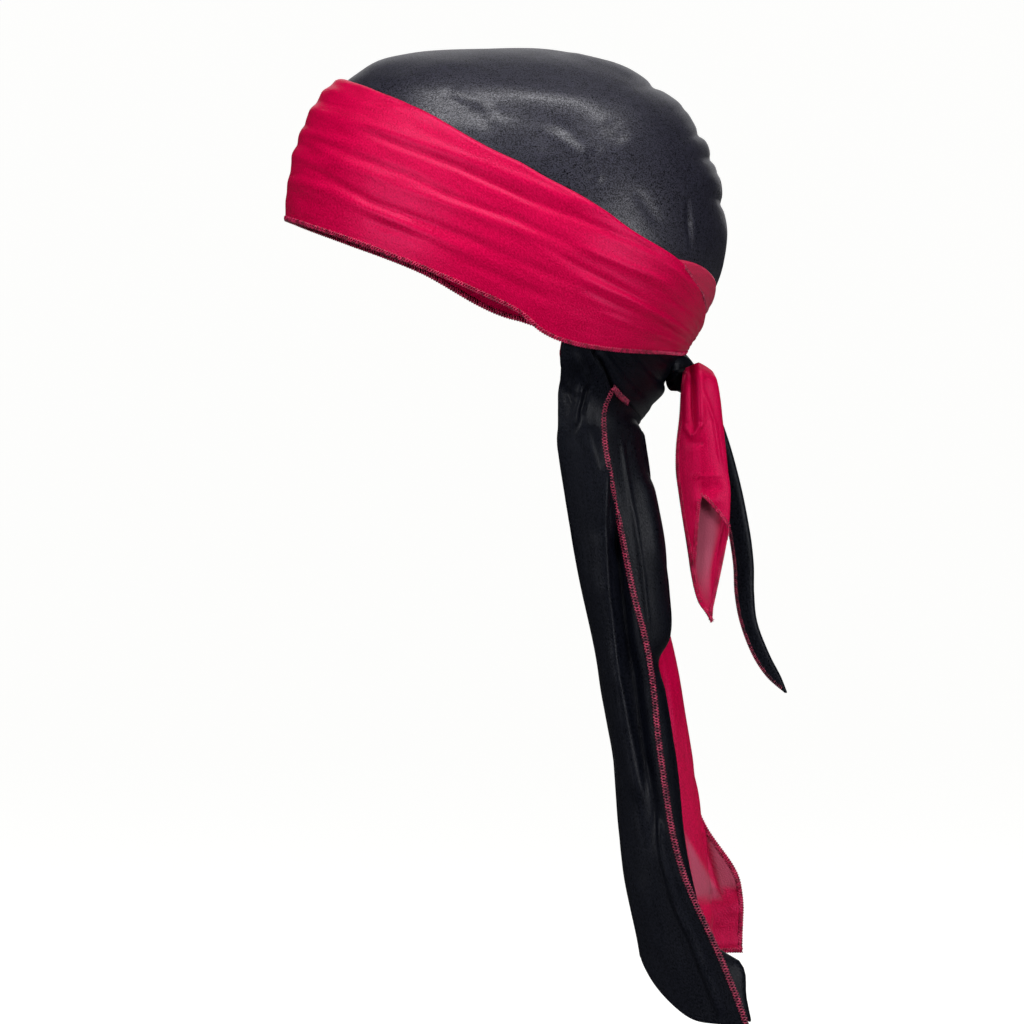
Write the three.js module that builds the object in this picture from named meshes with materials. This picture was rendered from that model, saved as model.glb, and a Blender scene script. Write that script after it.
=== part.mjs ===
// Durag, worn and tied: a two-panel crown, a wide wrapped strap, a nape wrap, a knot with two
// loose ends and a long two-colour tail.
// Millimetres. +Z is up, the forehead faces -Y and the wearer's left side is +X.
// The origin is the point inside the crown where the top of the head bears.
import * as THREE from "three";

// Driving sizes of the head that the cloth is worn on.
const headFront = 97;
const headBack = 105;
const headHalfWidth = 77;
const crownDrop = 98;
const breadthBehind = 8;
const napeStart = 8;
const napeLength = 103;
const napeTuck = 45;
const neckTuck = 19;

// Cloth.
const clothWall = 1.2;
const gap = 0.3;
const layerGap = 0.6;
const wrapGap = 0.85;
const rimGap = 0.8;
const strapWall = 1.2;
const strapRidge = 1.2;
const wrapRidge = 1.3;
const seamRise = 1.4;

// Loose cloth.
const tailLength = 317;
const tailSpread = 52;
const redTieLength = 119;
const redTieWidth = 23;
const blackTieLength = 151;
const blackTieReach = 44;
const blackTieWidth = 10;
const tieFold = 3;

// Knot.
const knotWide = 16;
const knotDeep = 14.5;
const knotTall = 17.5;
const knotStand = 1.3;

// Roundness of the head form's sections: 2 is an ellipse, more is squarer.
const frontProfile = 3;
const backProfile = 2.5;
const widthProfile = 2.3;
const frontSection = 2.3;
const backSection = 2.2;

// Folds and gathers, as shares of the piece that they lie on.
const gatherFade = 0.12;
const wrapFoldCount = 2;
const wrapFoldStart = 0.1;
const wrapFoldFull = 0.35;
const knotPinch = 0.12;

// Where each tie end leaves the knot, as shares of the knot's depth and height from its middle.
const redTieSeat = { back: 0.07, up: 0.3 };
const blackTieSeat = { back: 0.14, up: 0.1 };

// Rows and columns of points on each piece.
const crownGrid = { rows: 22, columns: 18 };
const bandStations = 68;
const wrapGrid = { rows: 22, columns: 6 };
const tailGrid = { rows: 17, columns: 22 };
const redTieGrid = { rows: 14, columns: 15 };
const blackTieGrid = { rows: 16, columns: 12 };
const knotGrid = { rows: 10, columns: 16 };

const quarter = Math.PI / 2;
const radians = Math.PI / 180;

const blackSatin = new THREE.MeshStandardMaterial({ color: 0x0e1116, roughness: 0.42, metalness: 0 });
const redSatin = new THREE.MeshStandardMaterial({ color: 0xc00045, roughness: 0.38, metalness: 0 });

// Value of a table column at a place between its rows, on a smooth curve through them.
function tableAt(rows, key, column, at) {
  const last = rows.length - 1;
  if (at <= rows[0][key]) return rows[0][column];
  if (at >= rows[last][key]) return rows[last][column];
  let i = 0;
  while (rows[i + 1][key] < at) i += 1;
  const slope = (j) => {
    const a = rows[Math.max(0, j - 1)];
    const b = rows[Math.min(last, j + 1)];
    return (b[column] - a[column]) / (b[key] - a[key]);
  };
  const span = rows[i + 1][key] - rows[i][key];
  const t = (at - rows[i][key]) / span;
  const before = rows[i][column] * (1 + 2 * t) * (1 - t) ** 2 + slope(i) * span * t * (1 - t) ** 2;
  const after = rows[i + 1][column] * (3 - 2 * t) * t ** 2 - slope(i + 1) * span * t ** 2 * (1 - t);
  return before + after;
}

const easeBetween = (x, from, to) => THREE.MathUtils.smoothstep(x, from, to);
const rounded = (u, power) => Math.pow(1 - Math.pow(u, power), 1 / power);
const signedPower = (v, power) => Math.sign(v) * Math.pow(Math.abs(v), power);

// A fall is a height below the top of the head as a share of crownDrop: 0 at the top, 1 at the
// widest level, more down the nape. A level runs evenly along the surface instead.
const levelOf = (fall) => (fall <= 1 ? Math.acos(1 - fall) / quarter : 1 + (fall - 1) / quarter);
const fallOf = (level) => (level <= 1 ? 1 - Math.cos(level * quarter) : 1 + (level - 1) * quarter);

// Point of the head form at a turn in degrees (0 forehead, 90 left side, 180 back) and a fall,
// with the whole form grown by lift.
function headPoint(turn, fall, lift) {
  const up = Math.max(0, 1 - fall);
  const tuck = easeBetween((fall - 1) * crownDrop + napeStart, 0, napeLength);
  const breadthAt = breadthBehind * rounded(up, widthProfile);
  const front = (headFront + lift) * rounded(up, frontProfile) + breadthAt;
  const back = (headBack + lift - napeTuck * tuck) * rounded(up, backProfile) - breadthAt;
  const half = (headHalfWidth + lift - neckTuck * tuck) * rounded(up, widthProfile);
  const ahead = Math.cos(turn * radians);
  const aside = Math.sin(turn * radians);
  const power = 2 / (ahead > 0 ? frontSection : backSection);
  const reach = ahead > 0 ? front : back;
  return new THREE.Vector3(
    half * signedPower(aside, power),
    breadthAt - reach * signedPower(ahead, power),
    -crownDrop * fall + lift * up,
  );
}

// Closed body from four-cornered faces, with equal points joined and faces turned outwards.
function closedBody(quads) {
  const positions = [];
  const points = [];
  const place = new Map();
  const indexOf = (p) => {
    const name = [p.x, p.y, p.z].map((v) => Math.round(v * 1e4)).join(",");
    if (!place.has(name)) {
      place.set(name, points.length);
      points.push(p);
      positions.push(p.x, p.y, p.z);
    }
    return place.get(name);
  };
  const faces = [];
  for (const [a, b, c, d] of quads) {
    for (const corners of [[a, b, c], [a, c, d]]) {
      const triangle = corners.map(indexOf);
      if (new Set(triangle).size === 3) faces.push(triangle);
    }
  }
  const volume = faces.reduce((sum, [a, b, c]) => (
    sum + points[a].dot(points[b].clone().cross(points[c]))
  ), 0);
  const turned = volume > 0 ? faces : faces.map(([a, b, c]) => [a, c, b]);
  const geometry = new THREE.BufferGeometry();
  geometry.setAttribute("position", new THREE.Float32BufferAttribute(positions, 3));
  geometry.setIndex(turned.flat());
  geometry.computeVertexNormals();
  return geometry;
}

// Closed body between an outer and an inner grid of points with the same rows and columns.
function wallBetween(outer, inner) {
  const lastRow = outer.length - 1;
  const lastColumn = outer[0].length - 1;
  const quads = [];
  for (let i = 0; i < lastRow; i += 1) {
    for (let j = 0; j < lastColumn; j += 1) {
      quads.push([outer[i][j], outer[i + 1][j], outer[i + 1][j + 1], outer[i][j + 1]]);
      quads.push([inner[i][j], inner[i][j + 1], inner[i + 1][j + 1], inner[i + 1][j]]);
    }
  }
  for (let j = 0; j < lastColumn; j += 1) {
    quads.push([inner[0][j], outer[0][j], outer[0][j + 1], inner[0][j + 1]]);
    quads.push([outer[lastRow][j], inner[lastRow][j], inner[lastRow][j + 1], outer[lastRow][j + 1]]);
  }
  for (let i = 0; i < lastRow; i += 1) {
    const j = lastColumn;
    quads.push([outer[i][0], inner[i][0], inner[i + 1][0], outer[i + 1][0]]);
    quads.push([inner[i][j], outer[i][j], outer[i + 1][j], inner[i + 1][j]]);
  }
  return closedBody(quads);
}

function piece(name, geometry, material) {
  const mesh = new THREE.Mesh(geometry, material);
  mesh.name = name;
  return mesh;
}

const steps = (count) => Array.from({ length: count + 1 }, (_, i) => i / count);

// Turn at which the tail's stitched side edge leaves the nape.
const tailEdgeTurn = 131;

// Upper and lower edge of the nape wrap, which the tail's outer layer starts under.
const wrapTable = [
  { turn: 116, top: 1.43, bottom: 1.53 },
  { turn: 122, top: 1.43, bottom: 1.57 },
  { turn: tailEdgeTurn, top: 1.43, bottom: 1.61 },
  { turn: 140, top: 1.43, bottom: 1.67 },
  { turn: 156, top: 1.43, bottom: 1.74 },
  { turn: 180, top: 1.43, bottom: 1.77 },
];

// The crimson strap from its hidden start at the left of the back, round the back, the right
// side, the forehead and the left side, to the knot. lift counts cloth layers under it.
const bandTable = [
  { turn: -228, top: 1.0, bottom: 1.39, lift: 0, ridge: 0 },
  { turn: -212, top: 1.03, bottom: 1.4, lift: 0, ridge: 0 },
  { turn: -195, top: 1.1, bottom: 1.4, lift: 0, ridge: 0 },
  { turn: -180, top: 1.18, bottom: 1.4, lift: 0, ridge: 0 },
  { turn: -165, top: 1.15, bottom: 1.4, lift: 0, ridge: 0.3 },
  { turn: -150, top: 1.08, bottom: 1.4, lift: 0, ridge: 0.6 },
  { turn: -135, top: 0.99, bottom: 1.39, lift: 0, ridge: 0.8 },
  { turn: -115, top: 0.83, bottom: 1.38, lift: 0, ridge: 1 },
  { turn: -90, top: 0.547, bottom: 1.28, lift: 0, ridge: 1 },
  { turn: -68, top: 0.33, bottom: 1.05, lift: 0.2, ridge: 1 },
  { turn: -45, top: 0.222, bottom: 0.92, lift: 0.4, ridge: 1 },
  { turn: -20, top: 0.172, bottom: 0.84, lift: 0.6, ridge: 1 },
  { turn: 0, top: 0.165, bottom: 0.82, lift: 0.6, ridge: 1 },
  { turn: 20, top: 0.172, bottom: 0.84, lift: 0.6, ridge: 1 },
  { turn: 45, top: 0.222, bottom: 0.92, lift: 0.4, ridge: 1 },
  { turn: 68, top: 0.33, bottom: 1.05, lift: 0.4, ridge: 1 },
  { turn: 87, top: 0.52, bottom: 1.22, lift: 0.7, ridge: 1 },
  { turn: 96, top: 0.63, bottom: 1.355, lift: 0.9, ridge: 1 },
  { turn: 106, top: 0.727, bottom: 1.415, lift: 1, ridge: 1 },
  { turn: 121, top: 0.888, bottom: 1.445, lift: 1, ridge: 1 },
  { turn: 137, top: 1.01, bottom: 1.455, lift: 1, ridge: 1 },
  { turn: 152, top: 1.146, bottom: 1.455, lift: 1, ridge: 1 },
  { turn: 168, top: 1.25, bottom: 1.46, lift: 1, ridge: 1.2 },
  { turn: 180, top: 1.32, bottom: 1.465, lift: 1.3, ridge: 1.3 },
];

// Where the crown ends and the tail begins, under the straps.
const rimTable = [
  { turn: 0, rim: 0.79 },
  { turn: 30, rim: 0.83 },
  { turn: 60, rim: 0.985 },
  { turn: 75, rim: 1.08 },
  { turn: 87, rim: 1.2 },
  { turn: 98, rim: 1.34 },
  { turn: 105, rim: 1.44 },
  { turn: 112, rim: 1.46 },
  { turn: 140, rim: 1.39 },
  { turn: 180, rim: 1.39 },
];

// Raised gathers of the crown: where each is centred, how far it rises as a share of seamRise,
// and how far it spreads in degrees of turn and in level.
const gatherTable = [
  { turn: 176, level: 0.28, rise: 0.8, wide: 22, tall: 0.07 },
  { turn: 172, level: 0.49, rise: 1, wide: 18, tall: 0.065 },
  { turn: 174, level: 0.64, rise: 0.8, wide: 14, tall: 0.035 },
  { turn: 170, level: 0.76, rise: 1, wide: 16, tall: 0.05 },
  { turn: 174, level: 0.91, rise: 0.7, wide: 15, tall: 0.05 },
  { turn: 4, level: 0.24, rise: 0.6, wide: 40, tall: 0.06 },
  { turn: 6, level: 0.4, rise: 0.5, wide: 24, tall: 0.05 },
  { turn: 70, level: 0.3, rise: 0.5, wide: 14, tall: 0.08 },
  { turn: 96, level: 0.5, rise: 0.6, wide: 9, tall: 0.1 },
  { turn: 118, level: 0.64, rise: 0.6, wide: 8, tall: 0.12 },
];

function gatherRise(turn, level) {
  let rise = 0;
  for (const fold of gatherTable) {
    const across = (turn - fold.turn) / fold.wide;
    const along = (level - fold.level) / fold.tall;
    rise += fold.rise * seamRise * Math.exp(-across * across - along * along);
  }
  return rise;
}

// Level where the band starts to cover the crown, taking the higher of its passes.
function bareAbove(turn) {
  const passes = [turn, turn - 360].map((at) => tableAt(bandTable, "turn", "top", at));
  return levelOf(turn > 0 && turn >= bandTable[0].turn + 360 ? Math.min(...passes) : passes[0]);
}

// One half of the crown: side is 1 for the left half and -1 for the right.
function crownHalf(side) {
  const pointAt = (down, round, lift, gathered) => {
    const turn = 180 * round;
    const level = down * levelOf(tableAt(rimTable, "turn", "rim", turn));
    const bare = easeBetween(bareAbove(side * turn) - level, 0, gatherFade);
    const rise = gathered ? gatherRise(turn, level) * bare : 0;
    const p = headPoint(turn, fallOf(level), lift + rise);
    return new THREE.Vector3(side * (Math.abs(p.x) + gap / 2), p.y, p.z);
  };
  const layer = (lift, gathered) => steps(crownGrid.rows).map((down) => (
    steps(crownGrid.columns).map((round) => pointAt(down, round, lift, gathered))
  ));
  return wallBetween(layer(clothWall, true), layer(0, false));
}

// Height of the strap's lengthwise folds at a share of its width, as a share of strapRidge.
const foldTable = [
  { share: 0, rise: 0.5 },
  { share: 0.1, rise: 0.7 },
  { share: 0.24, rise: 0.25 },
  { share: 0.37, rise: 1 },
  { share: 0.5, rise: 0.1 },
  { share: 0.63, rise: 0.9 },
  { share: 0.76, rise: 0.2 },
  { share: 0.89, rise: 0.8 },
  { share: 1, rise: 0.1 },
];

const strapLift = clothWall + layerGap;
const layerLift = strapWall + layerGap;

function foreheadBand() {
  const first = bandTable[0].turn;
  const last = bandTable[bandTable.length - 1].turn;
  const pointAt = (along, fold, lift, folded) => {
    const turn = first + (last - first) * along;
    const columnAt = (column) => tableAt(bandTable, "turn", column, turn);
    const top = levelOf(columnAt("top"));
    const bottom = levelOf(columnAt("bottom"));
    const ridge = folded ? fold.rise * strapRidge * columnAt("ridge") : 0;
    const raised = strapLift + columnAt("lift") * layerLift + lift + ridge;
    return headPoint(turn, fallOf(top + (bottom - top) * fold.share), raised);
  };
  const layer = (lift, folded) => steps(bandStations).map((along) => (
    foldTable.map((fold) => pointAt(along, fold, lift, folded))
  ));
  return wallBetween(layer(strapWall, true), layer(0, false));
}

// The black strap's pass over the nape, with folds that slant down towards the back.
function napeWrap() {
  const first = wrapTable[0].turn;
  const pointAt = (along, share, lift, folded) => {
    const turn = first + (360 - 2 * first) * along;
    const beside = turn <= 180 ? turn : 360 - turn;
    const top = tableAt(wrapTable, "turn", "top", beside);
    const bottom = tableAt(wrapTable, "turn", "bottom", beside);
    const towardsBack = (beside - first) / (180 - first);
    const wave = (1 + Math.sin((share * wrapFoldCount - towardsBack) * Math.PI)) / 2;
    const rise = folded ? wrapRidge * wave * easeBetween(share, wrapFoldStart, wrapFoldFull) : 0;
    return headPoint(turn, top + (bottom - top) * share, clothWall + wrapGap + lift + rise);
  };
  const layer = (lift, folded) => steps(wrapGrid.rows).map((along) => (
    steps(wrapGrid.columns).map((share) => pointAt(along, share, lift, folded))
  ));
  return wallBetween(layer(strapWall, true), layer(0, false));
}

// Sheet of cloth, clothWall thick, on a middle surface given by shares across and down.
function sheetOn(middlePoint, { rows, columns }) {
  const middle = steps(rows).map((down) => steps(columns).map((across) => middlePoint(across, down)));
  const offset = (amount) => middle.map((row, i) => row.map((p, j) => {
    const down = middle[Math.min(rows, i + 1)][j].clone().sub(middle[Math.max(0, i - 1)][j]);
    const across = row[Math.min(columns, j + 1)].clone().sub(row[Math.max(0, j - 1)]);
    return p.clone().addScaledVector(down.cross(across).normalize(), amount);
  }));
  return wallBetween(offset(clothWall / 2), offset(-clothWall / 2));
}

// Heights below the wrap's top edge are drops, as shares of tailLength.
const napeTop = wrapTable[0].top * crownDrop;
const hemFall = (turn) => tableAt(wrapTable, "turn", "bottom", turn);
const hemDrop = (turn) => (hemFall(turn) * crownDrop - napeTop) / tailLength;
const rimFall = (turn) => tableAt(rimTable, "turn", "rim", turn);
const rimDrop = (turn) => (rimFall(turn) * crownDrop + rimGap - napeTop) / tailLength;
const napeBack = headPoint(180, hemFall(tailEdgeTurn), 0).y;

// Lines of a tail half from its stitched side edge round the front fold and the back pleat to
// the centre seam: the turn where each leaves the nape, how many cloth walls out its middle
// lies there, and whether it starts at the crown's rim or below the wrap's hem.
const tailLines = [
  { line: 0, name: "edge", turn: tailEdgeTurn, layer: 2.7, from: "hem" },
  { line: 1, name: "ridge", turn: 117, layer: 2.7, from: "hem" },
  { line: 2, name: "front", turn: 106, layer: 1.5, from: "hem" },
  { line: 3, name: "under", turn: 122, layer: 0.5, from: "rim" },
  { line: 4, name: "middle", turn: 142, layer: 0.5, from: "rim" },
  { line: 5, name: "back", turn: 161, layer: 0.5, from: "rim" },
  { line: 6, name: "seam", turn: 180, layer: 0.5, from: "rim" },
];

// Drop between the wrap's hem and where the cloth lets go of the nape, and the drop over which
// it then falls clear.
const hemGap = 0.01;
const freeFall = 0.05;

// Spacing of the rows of points on the nape as a share of the spacing lower down.
const napeSpacing = 0.3;

// Side places are shares of tailSpread and back places shares of tailLength, from the nape.
const leftTail = [
  { drop: 0.115, edge: [0.98, -0.072], ridge: [1.09, -0.115], front: [1.12, -0.143], under: [0.97, -0.115],
    middle: [0.76, -0.055], back: [0.42, -0.018], seam: [0.011, -0.036] },
  { drop: 0.15, edge: [1.02, -0.069], ridge: [1.09, -0.11], front: [1.08, -0.141], under: [0.95, -0.11],
    middle: [0.76, -0.06], back: [0.5, -0.019], seam: [0.011, -0.035] },
  { drop: 0.275, edge: [1.0, -0.046], ridge: [1.02, -0.09], front: [0.96, -0.119], under: [0.8, -0.1],
    middle: [0.7, -0.04], back: [0.48, 0.009], seam: [0.011, -0.022] },
  { drop: 0.435, edge: [1.0, -0.008], ridge: [0.96, -0.06], front: [0.83, -0.089], under: [0.66, -0.07],
    middle: [0.6, -0.02], back: [0.42, 0.019], seam: [0.011, -0.004] },
  { drop: 0.6, edge: [0.98, 0.012], ridge: [0.92, -0.036], front: [0.78, -0.06], under: [0.6, -0.045],
    middle: [0.55, -0.01], back: [0.4, 0.026], seam: [0.011, 0.008] },
  { drop: 0.755, edge: [0.96, 0.04], ridge: [0.88, -0.01], front: [0.73, -0.046], under: [0.57, -0.03],
    middle: [0.52, 0.005], back: [0.38, 0.05], seam: [0.011, 0.02] },
  { drop: 0.915, edge: [0.96, 0.108], ridge: [0.86, 0.04], front: [0.72, -0.014], under: [0.56, 0.0],
    middle: [0.5, 0.04], back: [0.38, 0.085], seam: [0.011, 0.045] },
  { drop: 1.0, edge: [0.96, 0.14], ridge: [0.86, 0.075], front: [0.74, 0.02], under: [0.58, 0.03],
    middle: [0.5, 0.065], back: [0.38, 0.1], seam: [0.011, 0.06] },
];
const leftHems = {
  edge: 1.0, ridge: 0.985, front: 0.91, under: 0.92, middle: 0.94, back: 0.955, seam: 0.945,
};

const rightTail = [
  { drop: 0.115, edge: [0.98, -0.07], ridge: [1.09, -0.115], front: [1.12, -0.143], under: [0.97, -0.115],
    middle: [0.76, -0.055], back: [0.42, -0.02], seam: [0.011, -0.036] },
  { drop: 0.15, edge: [1.02, -0.065], ridge: [1.09, -0.11], front: [1.08, -0.14], under: [0.95, -0.11],
    middle: [0.76, -0.06], back: [0.5, -0.02], seam: [0.011, -0.035] },
  { drop: 0.275, edge: [1.0, -0.04], ridge: [1.02, -0.085], front: [0.96, -0.12], under: [0.8, -0.1],
    middle: [0.7, -0.04], back: [0.46, 0.005], seam: [0.011, -0.022] },
  { drop: 0.435, edge: [1.0, 0.0], ridge: [0.96, -0.055], front: [0.83, -0.09], under: [0.66, -0.07],
    middle: [0.58, -0.01], back: [0.4, 0.026], seam: [0.011, -0.004] },
  { drop: 0.6, edge: [0.98, 0.035], ridge: [0.92, -0.03], front: [0.78, -0.062], under: [0.6, -0.04],
    middle: [0.54, 0.01], back: [0.38, 0.054], seam: [0.011, 0.008] },
  { drop: 0.71, edge: [0.97, 0.08], ridge: [0.9, 0.0], front: [0.75, -0.045], under: [0.58, -0.02],
    middle: [0.52, 0.03], back: [0.37, 0.072], seam: [0.011, 0.016] },
  { drop: 0.79, edge: [0.96, 0.13], ridge: [0.88, 0.035], front: [0.73, -0.03], under: [0.57, 0.0],
    middle: [0.5, 0.045], back: [0.36, 0.082], seam: [0.011, 0.026] },
  { drop: 0.9, edge: [0.96, 0.134], ridge: [0.86, 0.06], front: [0.73, -0.01], under: [0.56, 0.02],
    middle: [0.5, 0.06], back: [0.36, 0.09], seam: [0.011, 0.042] },
];
const rightHems = {
  edge: 0.9, ridge: 0.9, front: 0.9, under: 0.91, middle: 0.925, back: 0.94, seam: 0.945,
};

function tailHalf(side, table, hems) {
  const seats = tailLines.map(({ line, name, turn, layer, from }) => {
    const free = hemDrop(turn) + hemGap;
    return { line, turn, layer, free, top: from === "hem" ? free : rimDrop(turn), hem: hems[name] };
  });
  const lines = tailLines.map(({ name }) => (
    table.map((row) => ({ drop: row.drop, aside: row[name][0], out: row[name][1] }))
  ));
  const hangingAt = (across, drop) => {
    const section = lines.map((rows) => new THREE.Vector3(
      tailSpread * tableAt(rows, "drop", "aside", drop),
      napeBack + tailLength * tableAt(rows, "drop", "out", drop),
      0,
    ));
    return new THREE.CatmullRomCurve3(section, false, "centripetal").getPoint(across);
  };
  const middlePoint = (across, down) => {
    const at = across * (seats.length - 1);
    const seat = (column) => tableAt(seats, "line", column, at);
    const closeRows = down * THREE.MathUtils.lerp(napeSpacing, 1, down);
    const drop = seat("top") + (seat("hem") - seat("top")) * closeRows;
    const fall = (drop * tailLength + napeTop) / crownDrop;
    const held = headPoint(seat("turn"), fall, seat("layer") * clothWall);
    const loose = hangingAt(across, drop);
    const place = held.lerp(loose, easeBetween(drop, seat("free"), seat("free") + freeFall));
    return new THREE.Vector3(side * Math.max(place.x, gap), place.y, -napeTop - tailLength * drop);
  };
  return sheetOn(middlePoint, tailGrid);
}

// Knot: a rounded lump pinched where the two straps cross, just below the end of the band.
const knotHeight = -bandTable[bandTable.length - 1].bottom * crownDrop - gap - knotTall / 2;
const wrapSurface = clothWall + wrapGap + strapWall + wrapRidge;
const knotCentre = new THREE.Vector3(
  0,
  headPoint(180, -knotHeight / crownDrop, wrapSurface).y + knotStand + knotDeep / 2,
  knotHeight,
);

function knotLump() {
  const points = steps(knotGrid.rows).map((up) => steps(knotGrid.columns).map((round) => {
    const polar = Math.PI * up;
    const turn = 2 * Math.PI * round;
    const pinch = 1 - knotPinch * Math.cos(2 * turn + polar) ** 2 * Math.sin(polar);
    return new THREE.Vector3(
      (knotWide / 2) * Math.sin(polar) * Math.cos(turn) * pinch,
      (knotDeep / 2) * Math.sin(polar) * Math.sin(turn) * pinch,
      (knotTall / 2) * Math.cos(polar),
    ).add(knotCentre);
  }));
  const quads = points.slice(1).flatMap((row, i) => row.slice(1).map((p, j) => (
    [points[i][j], row[j], p, points[i][j + 1]]
  )));
  return closedBody(quads);
}

// Each line of the red tie has a side place, as a share of tieFold beside the knot, and a back
// place, as a share of redTieWidth.
const redTie = [
  { drop: 0.0, nearEdge: [1, -0.1], nearMiddle: [1.5, 0.1], fold: [1, 0.35], farRight: [0.2, 0.25],
    farMiddle: [0, 0.1], farLeft: [0.1, -0.1] },
  { drop: 0.08, nearEdge: [1.2, -0.28], nearMiddle: [2.6, 0.12], fold: [1.4, 0.6], farRight: [0.2, 0.5],
    farMiddle: [0, 0.1], farLeft: [0.1, -0.2] },
  { drop: 0.17, nearEdge: [1.2, -0.26], nearMiddle: [3.0, 0.2], fold: [1.4, 0.66], farRight: [0.2, 0.6],
    farMiddle: [0, 0.15], farLeft: [0.1, -0.2] },
  { drop: 0.33, nearEdge: [1.4, -0.34], nearMiddle: [2.6, 0.2], fold: [1.2, 0.74], farRight: [0.2, 0.66],
    farMiddle: [0, 0.16], farLeft: [0.1, -0.26] },
  { drop: 0.5, nearEdge: [1.4, -0.32], nearMiddle: [2.0, 0.2], fold: [1.0, 0.77], farRight: [0.1, 0.7],
    farMiddle: [0, 0.2], farLeft: [0.1, -0.26] },
  { drop: 0.64, nearEdge: [1.4, -0.26], nearMiddle: [1.8, 0.24], fold: [1.0, 0.66], farRight: [0, 0.58],
    farMiddle: [0, 0.22], farLeft: [0.1, -0.12] },
  { drop: 0.8, nearEdge: [1.4, -0.2], nearMiddle: [1.6, 0.24], fold: [1.0, 0.6], farRight: [0, 0.53],
    farMiddle: [0, 0.2], farLeft: [0.1, -0.03] },
  { drop: 1.0, nearEdge: [1.4, -0.1], nearMiddle: [1.4, 0.3], fold: [1.0, 0.55], farRight: [0, 0.5],
    farMiddle: [0, 0.38], farLeft: [0.1, 0.2] },
];
const redTieHems = {
  nearEdge: 0.42, nearMiddle: 0.53, fold: 0.64, farRight: 0.95, farMiddle: 1.0, farLeft: 0.95,
};

function redTieEnd() {
  const start = tieStart(1, redTieSeat);
  const lines = Object.keys(redTieHems).map((name) => ({
    hem: redTieHems[name],
    rows: redTie.map((row) => ({ drop: row.drop, side: row[name][0], back: row[name][1] })),
  }));
  const pointOn = ({ rows }, drop) => new THREE.Vector3(
    start.x + tieFold * tableAt(rows, "drop", "side", drop),
    start.y + redTieWidth * tableAt(rows, "drop", "back", drop),
    start.z - redTieLength * drop,
  );
  return hangingSheet(lines, pointOn, redTieGrid);
}

// Point beside the knot from which a tie end hangs: side is 1 for the left and -1 for the right.
function tieStart(side, seat) {
  return new THREE.Vector3(
    side * (knotWide / 2 + gap + clothWall / 2),
    knotCentre.y + knotDeep * seat.back,
    knotCentre.z + knotTall * seat.up,
  );
}

// Sheet that hangs from lines side by side, each down to its own hem.
function hangingSheet(lines, pointOn, grid) {
  return sheetOn((across, down) => {
    const row = lines.map((line) => pointOn(line, line.hem * down));
    return new THREE.CatmullRomCurve3(row, false, "centripetal").getPoint(across);
  }, grid);
}

// Run of the black tie: back is a share of blackTieReach and wide a share of blackTieWidth.
const blackTie = [
  { drop: 0.0, back: 0.0, wide: 0.5 },
  { drop: 0.09, back: 0.13, wide: 0.7 },
  { drop: 0.18, back: 0.25, wide: 0.85 },
  { drop: 0.34, back: 0.39, wide: 1.0 },
  { drop: 0.5, back: 0.5, wide: 1.0 },
  { drop: 0.6, back: 0.545, wide: 0.95 },
  { drop: 0.69, back: 0.555, wide: 0.9 },
  { drop: 0.78, back: 0.6, wide: 0.8 },
  { drop: 0.88, back: 0.73, wide: 0.8 },
  { drop: 0.95, back: 0.87, wide: 0.65 },
  { drop: 1.0, back: 1.0, wide: 0.1 },
];

// Lines of the black tie from its near edge round its back fold: side is a share of tieFold and
// place a share of its width.
const blackTieLines = [
  { side: 0, place: -0.5, hem: 1 },
  { side: 0, place: 0.38, hem: 1 },
  { side: -0.4, place: 0.5, hem: 1 },
  { side: -0.8, place: 0.36, hem: 1 },
  { side: -0.7, place: -0.25, hem: 1 },
];

function blackTieEnd() {
  const start = tieStart(-1, blackTieSeat);
  const pointOn = ({ side, place }, drop) => {
    const back = blackTieReach * tableAt(blackTie, "drop", "back", drop);
    const wide = blackTieWidth * tableAt(blackTie, "drop", "wide", drop);
    return new THREE.Vector3(
      start.x + tieFold * side,
      start.y + back + place * wide,
      start.z - blackTieLength * drop,
    );
  };
  return hangingSheet(blackTieLines, pointOn, blackTieGrid);
}

const durag = new THREE.Group();
durag.add(
  piece("crown_left", crownHalf(1), blackSatin),
  piece("crown_right", crownHalf(-1), blackSatin),
  piece("forehead_band", foreheadBand(), redSatin),
  piece("nape_wrap", napeWrap(), blackSatin),
  piece("knot", knotLump(), blackSatin),
  piece("tie_end_red", redTieEnd(), redSatin),
  piece("tie_end_black", blackTieEnd(), blackSatin),
  piece("tail_left", tailHalf(1, leftTail, leftHems), blackSatin),
  piece("tail_right", tailHalf(-1, rightTail, rightHems), redSatin),
);

export default durag;
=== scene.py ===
# %% [markdown]
# # A satin durag, worn and tied
#
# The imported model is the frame: it gives the space that every piece of cloth has to keep to.
# Each plain solid is replaced by a finely meshed cloth with its folds, edges and stitches.

# %% Load the frame
import math

import bmesh
import bpy
import numpy as np
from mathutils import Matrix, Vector


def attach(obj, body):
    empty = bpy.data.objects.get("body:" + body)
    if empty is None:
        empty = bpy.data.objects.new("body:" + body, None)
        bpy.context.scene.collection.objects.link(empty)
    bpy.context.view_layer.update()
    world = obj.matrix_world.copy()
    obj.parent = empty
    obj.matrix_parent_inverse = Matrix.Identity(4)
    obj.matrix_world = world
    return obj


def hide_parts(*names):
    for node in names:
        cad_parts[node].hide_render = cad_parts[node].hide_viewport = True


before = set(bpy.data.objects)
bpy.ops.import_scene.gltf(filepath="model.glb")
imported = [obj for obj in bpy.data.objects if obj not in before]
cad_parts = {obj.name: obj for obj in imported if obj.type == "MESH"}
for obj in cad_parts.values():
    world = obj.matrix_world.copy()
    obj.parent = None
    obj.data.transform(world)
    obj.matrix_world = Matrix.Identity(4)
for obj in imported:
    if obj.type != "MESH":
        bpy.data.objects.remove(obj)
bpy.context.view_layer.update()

MM = 0.001

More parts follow.
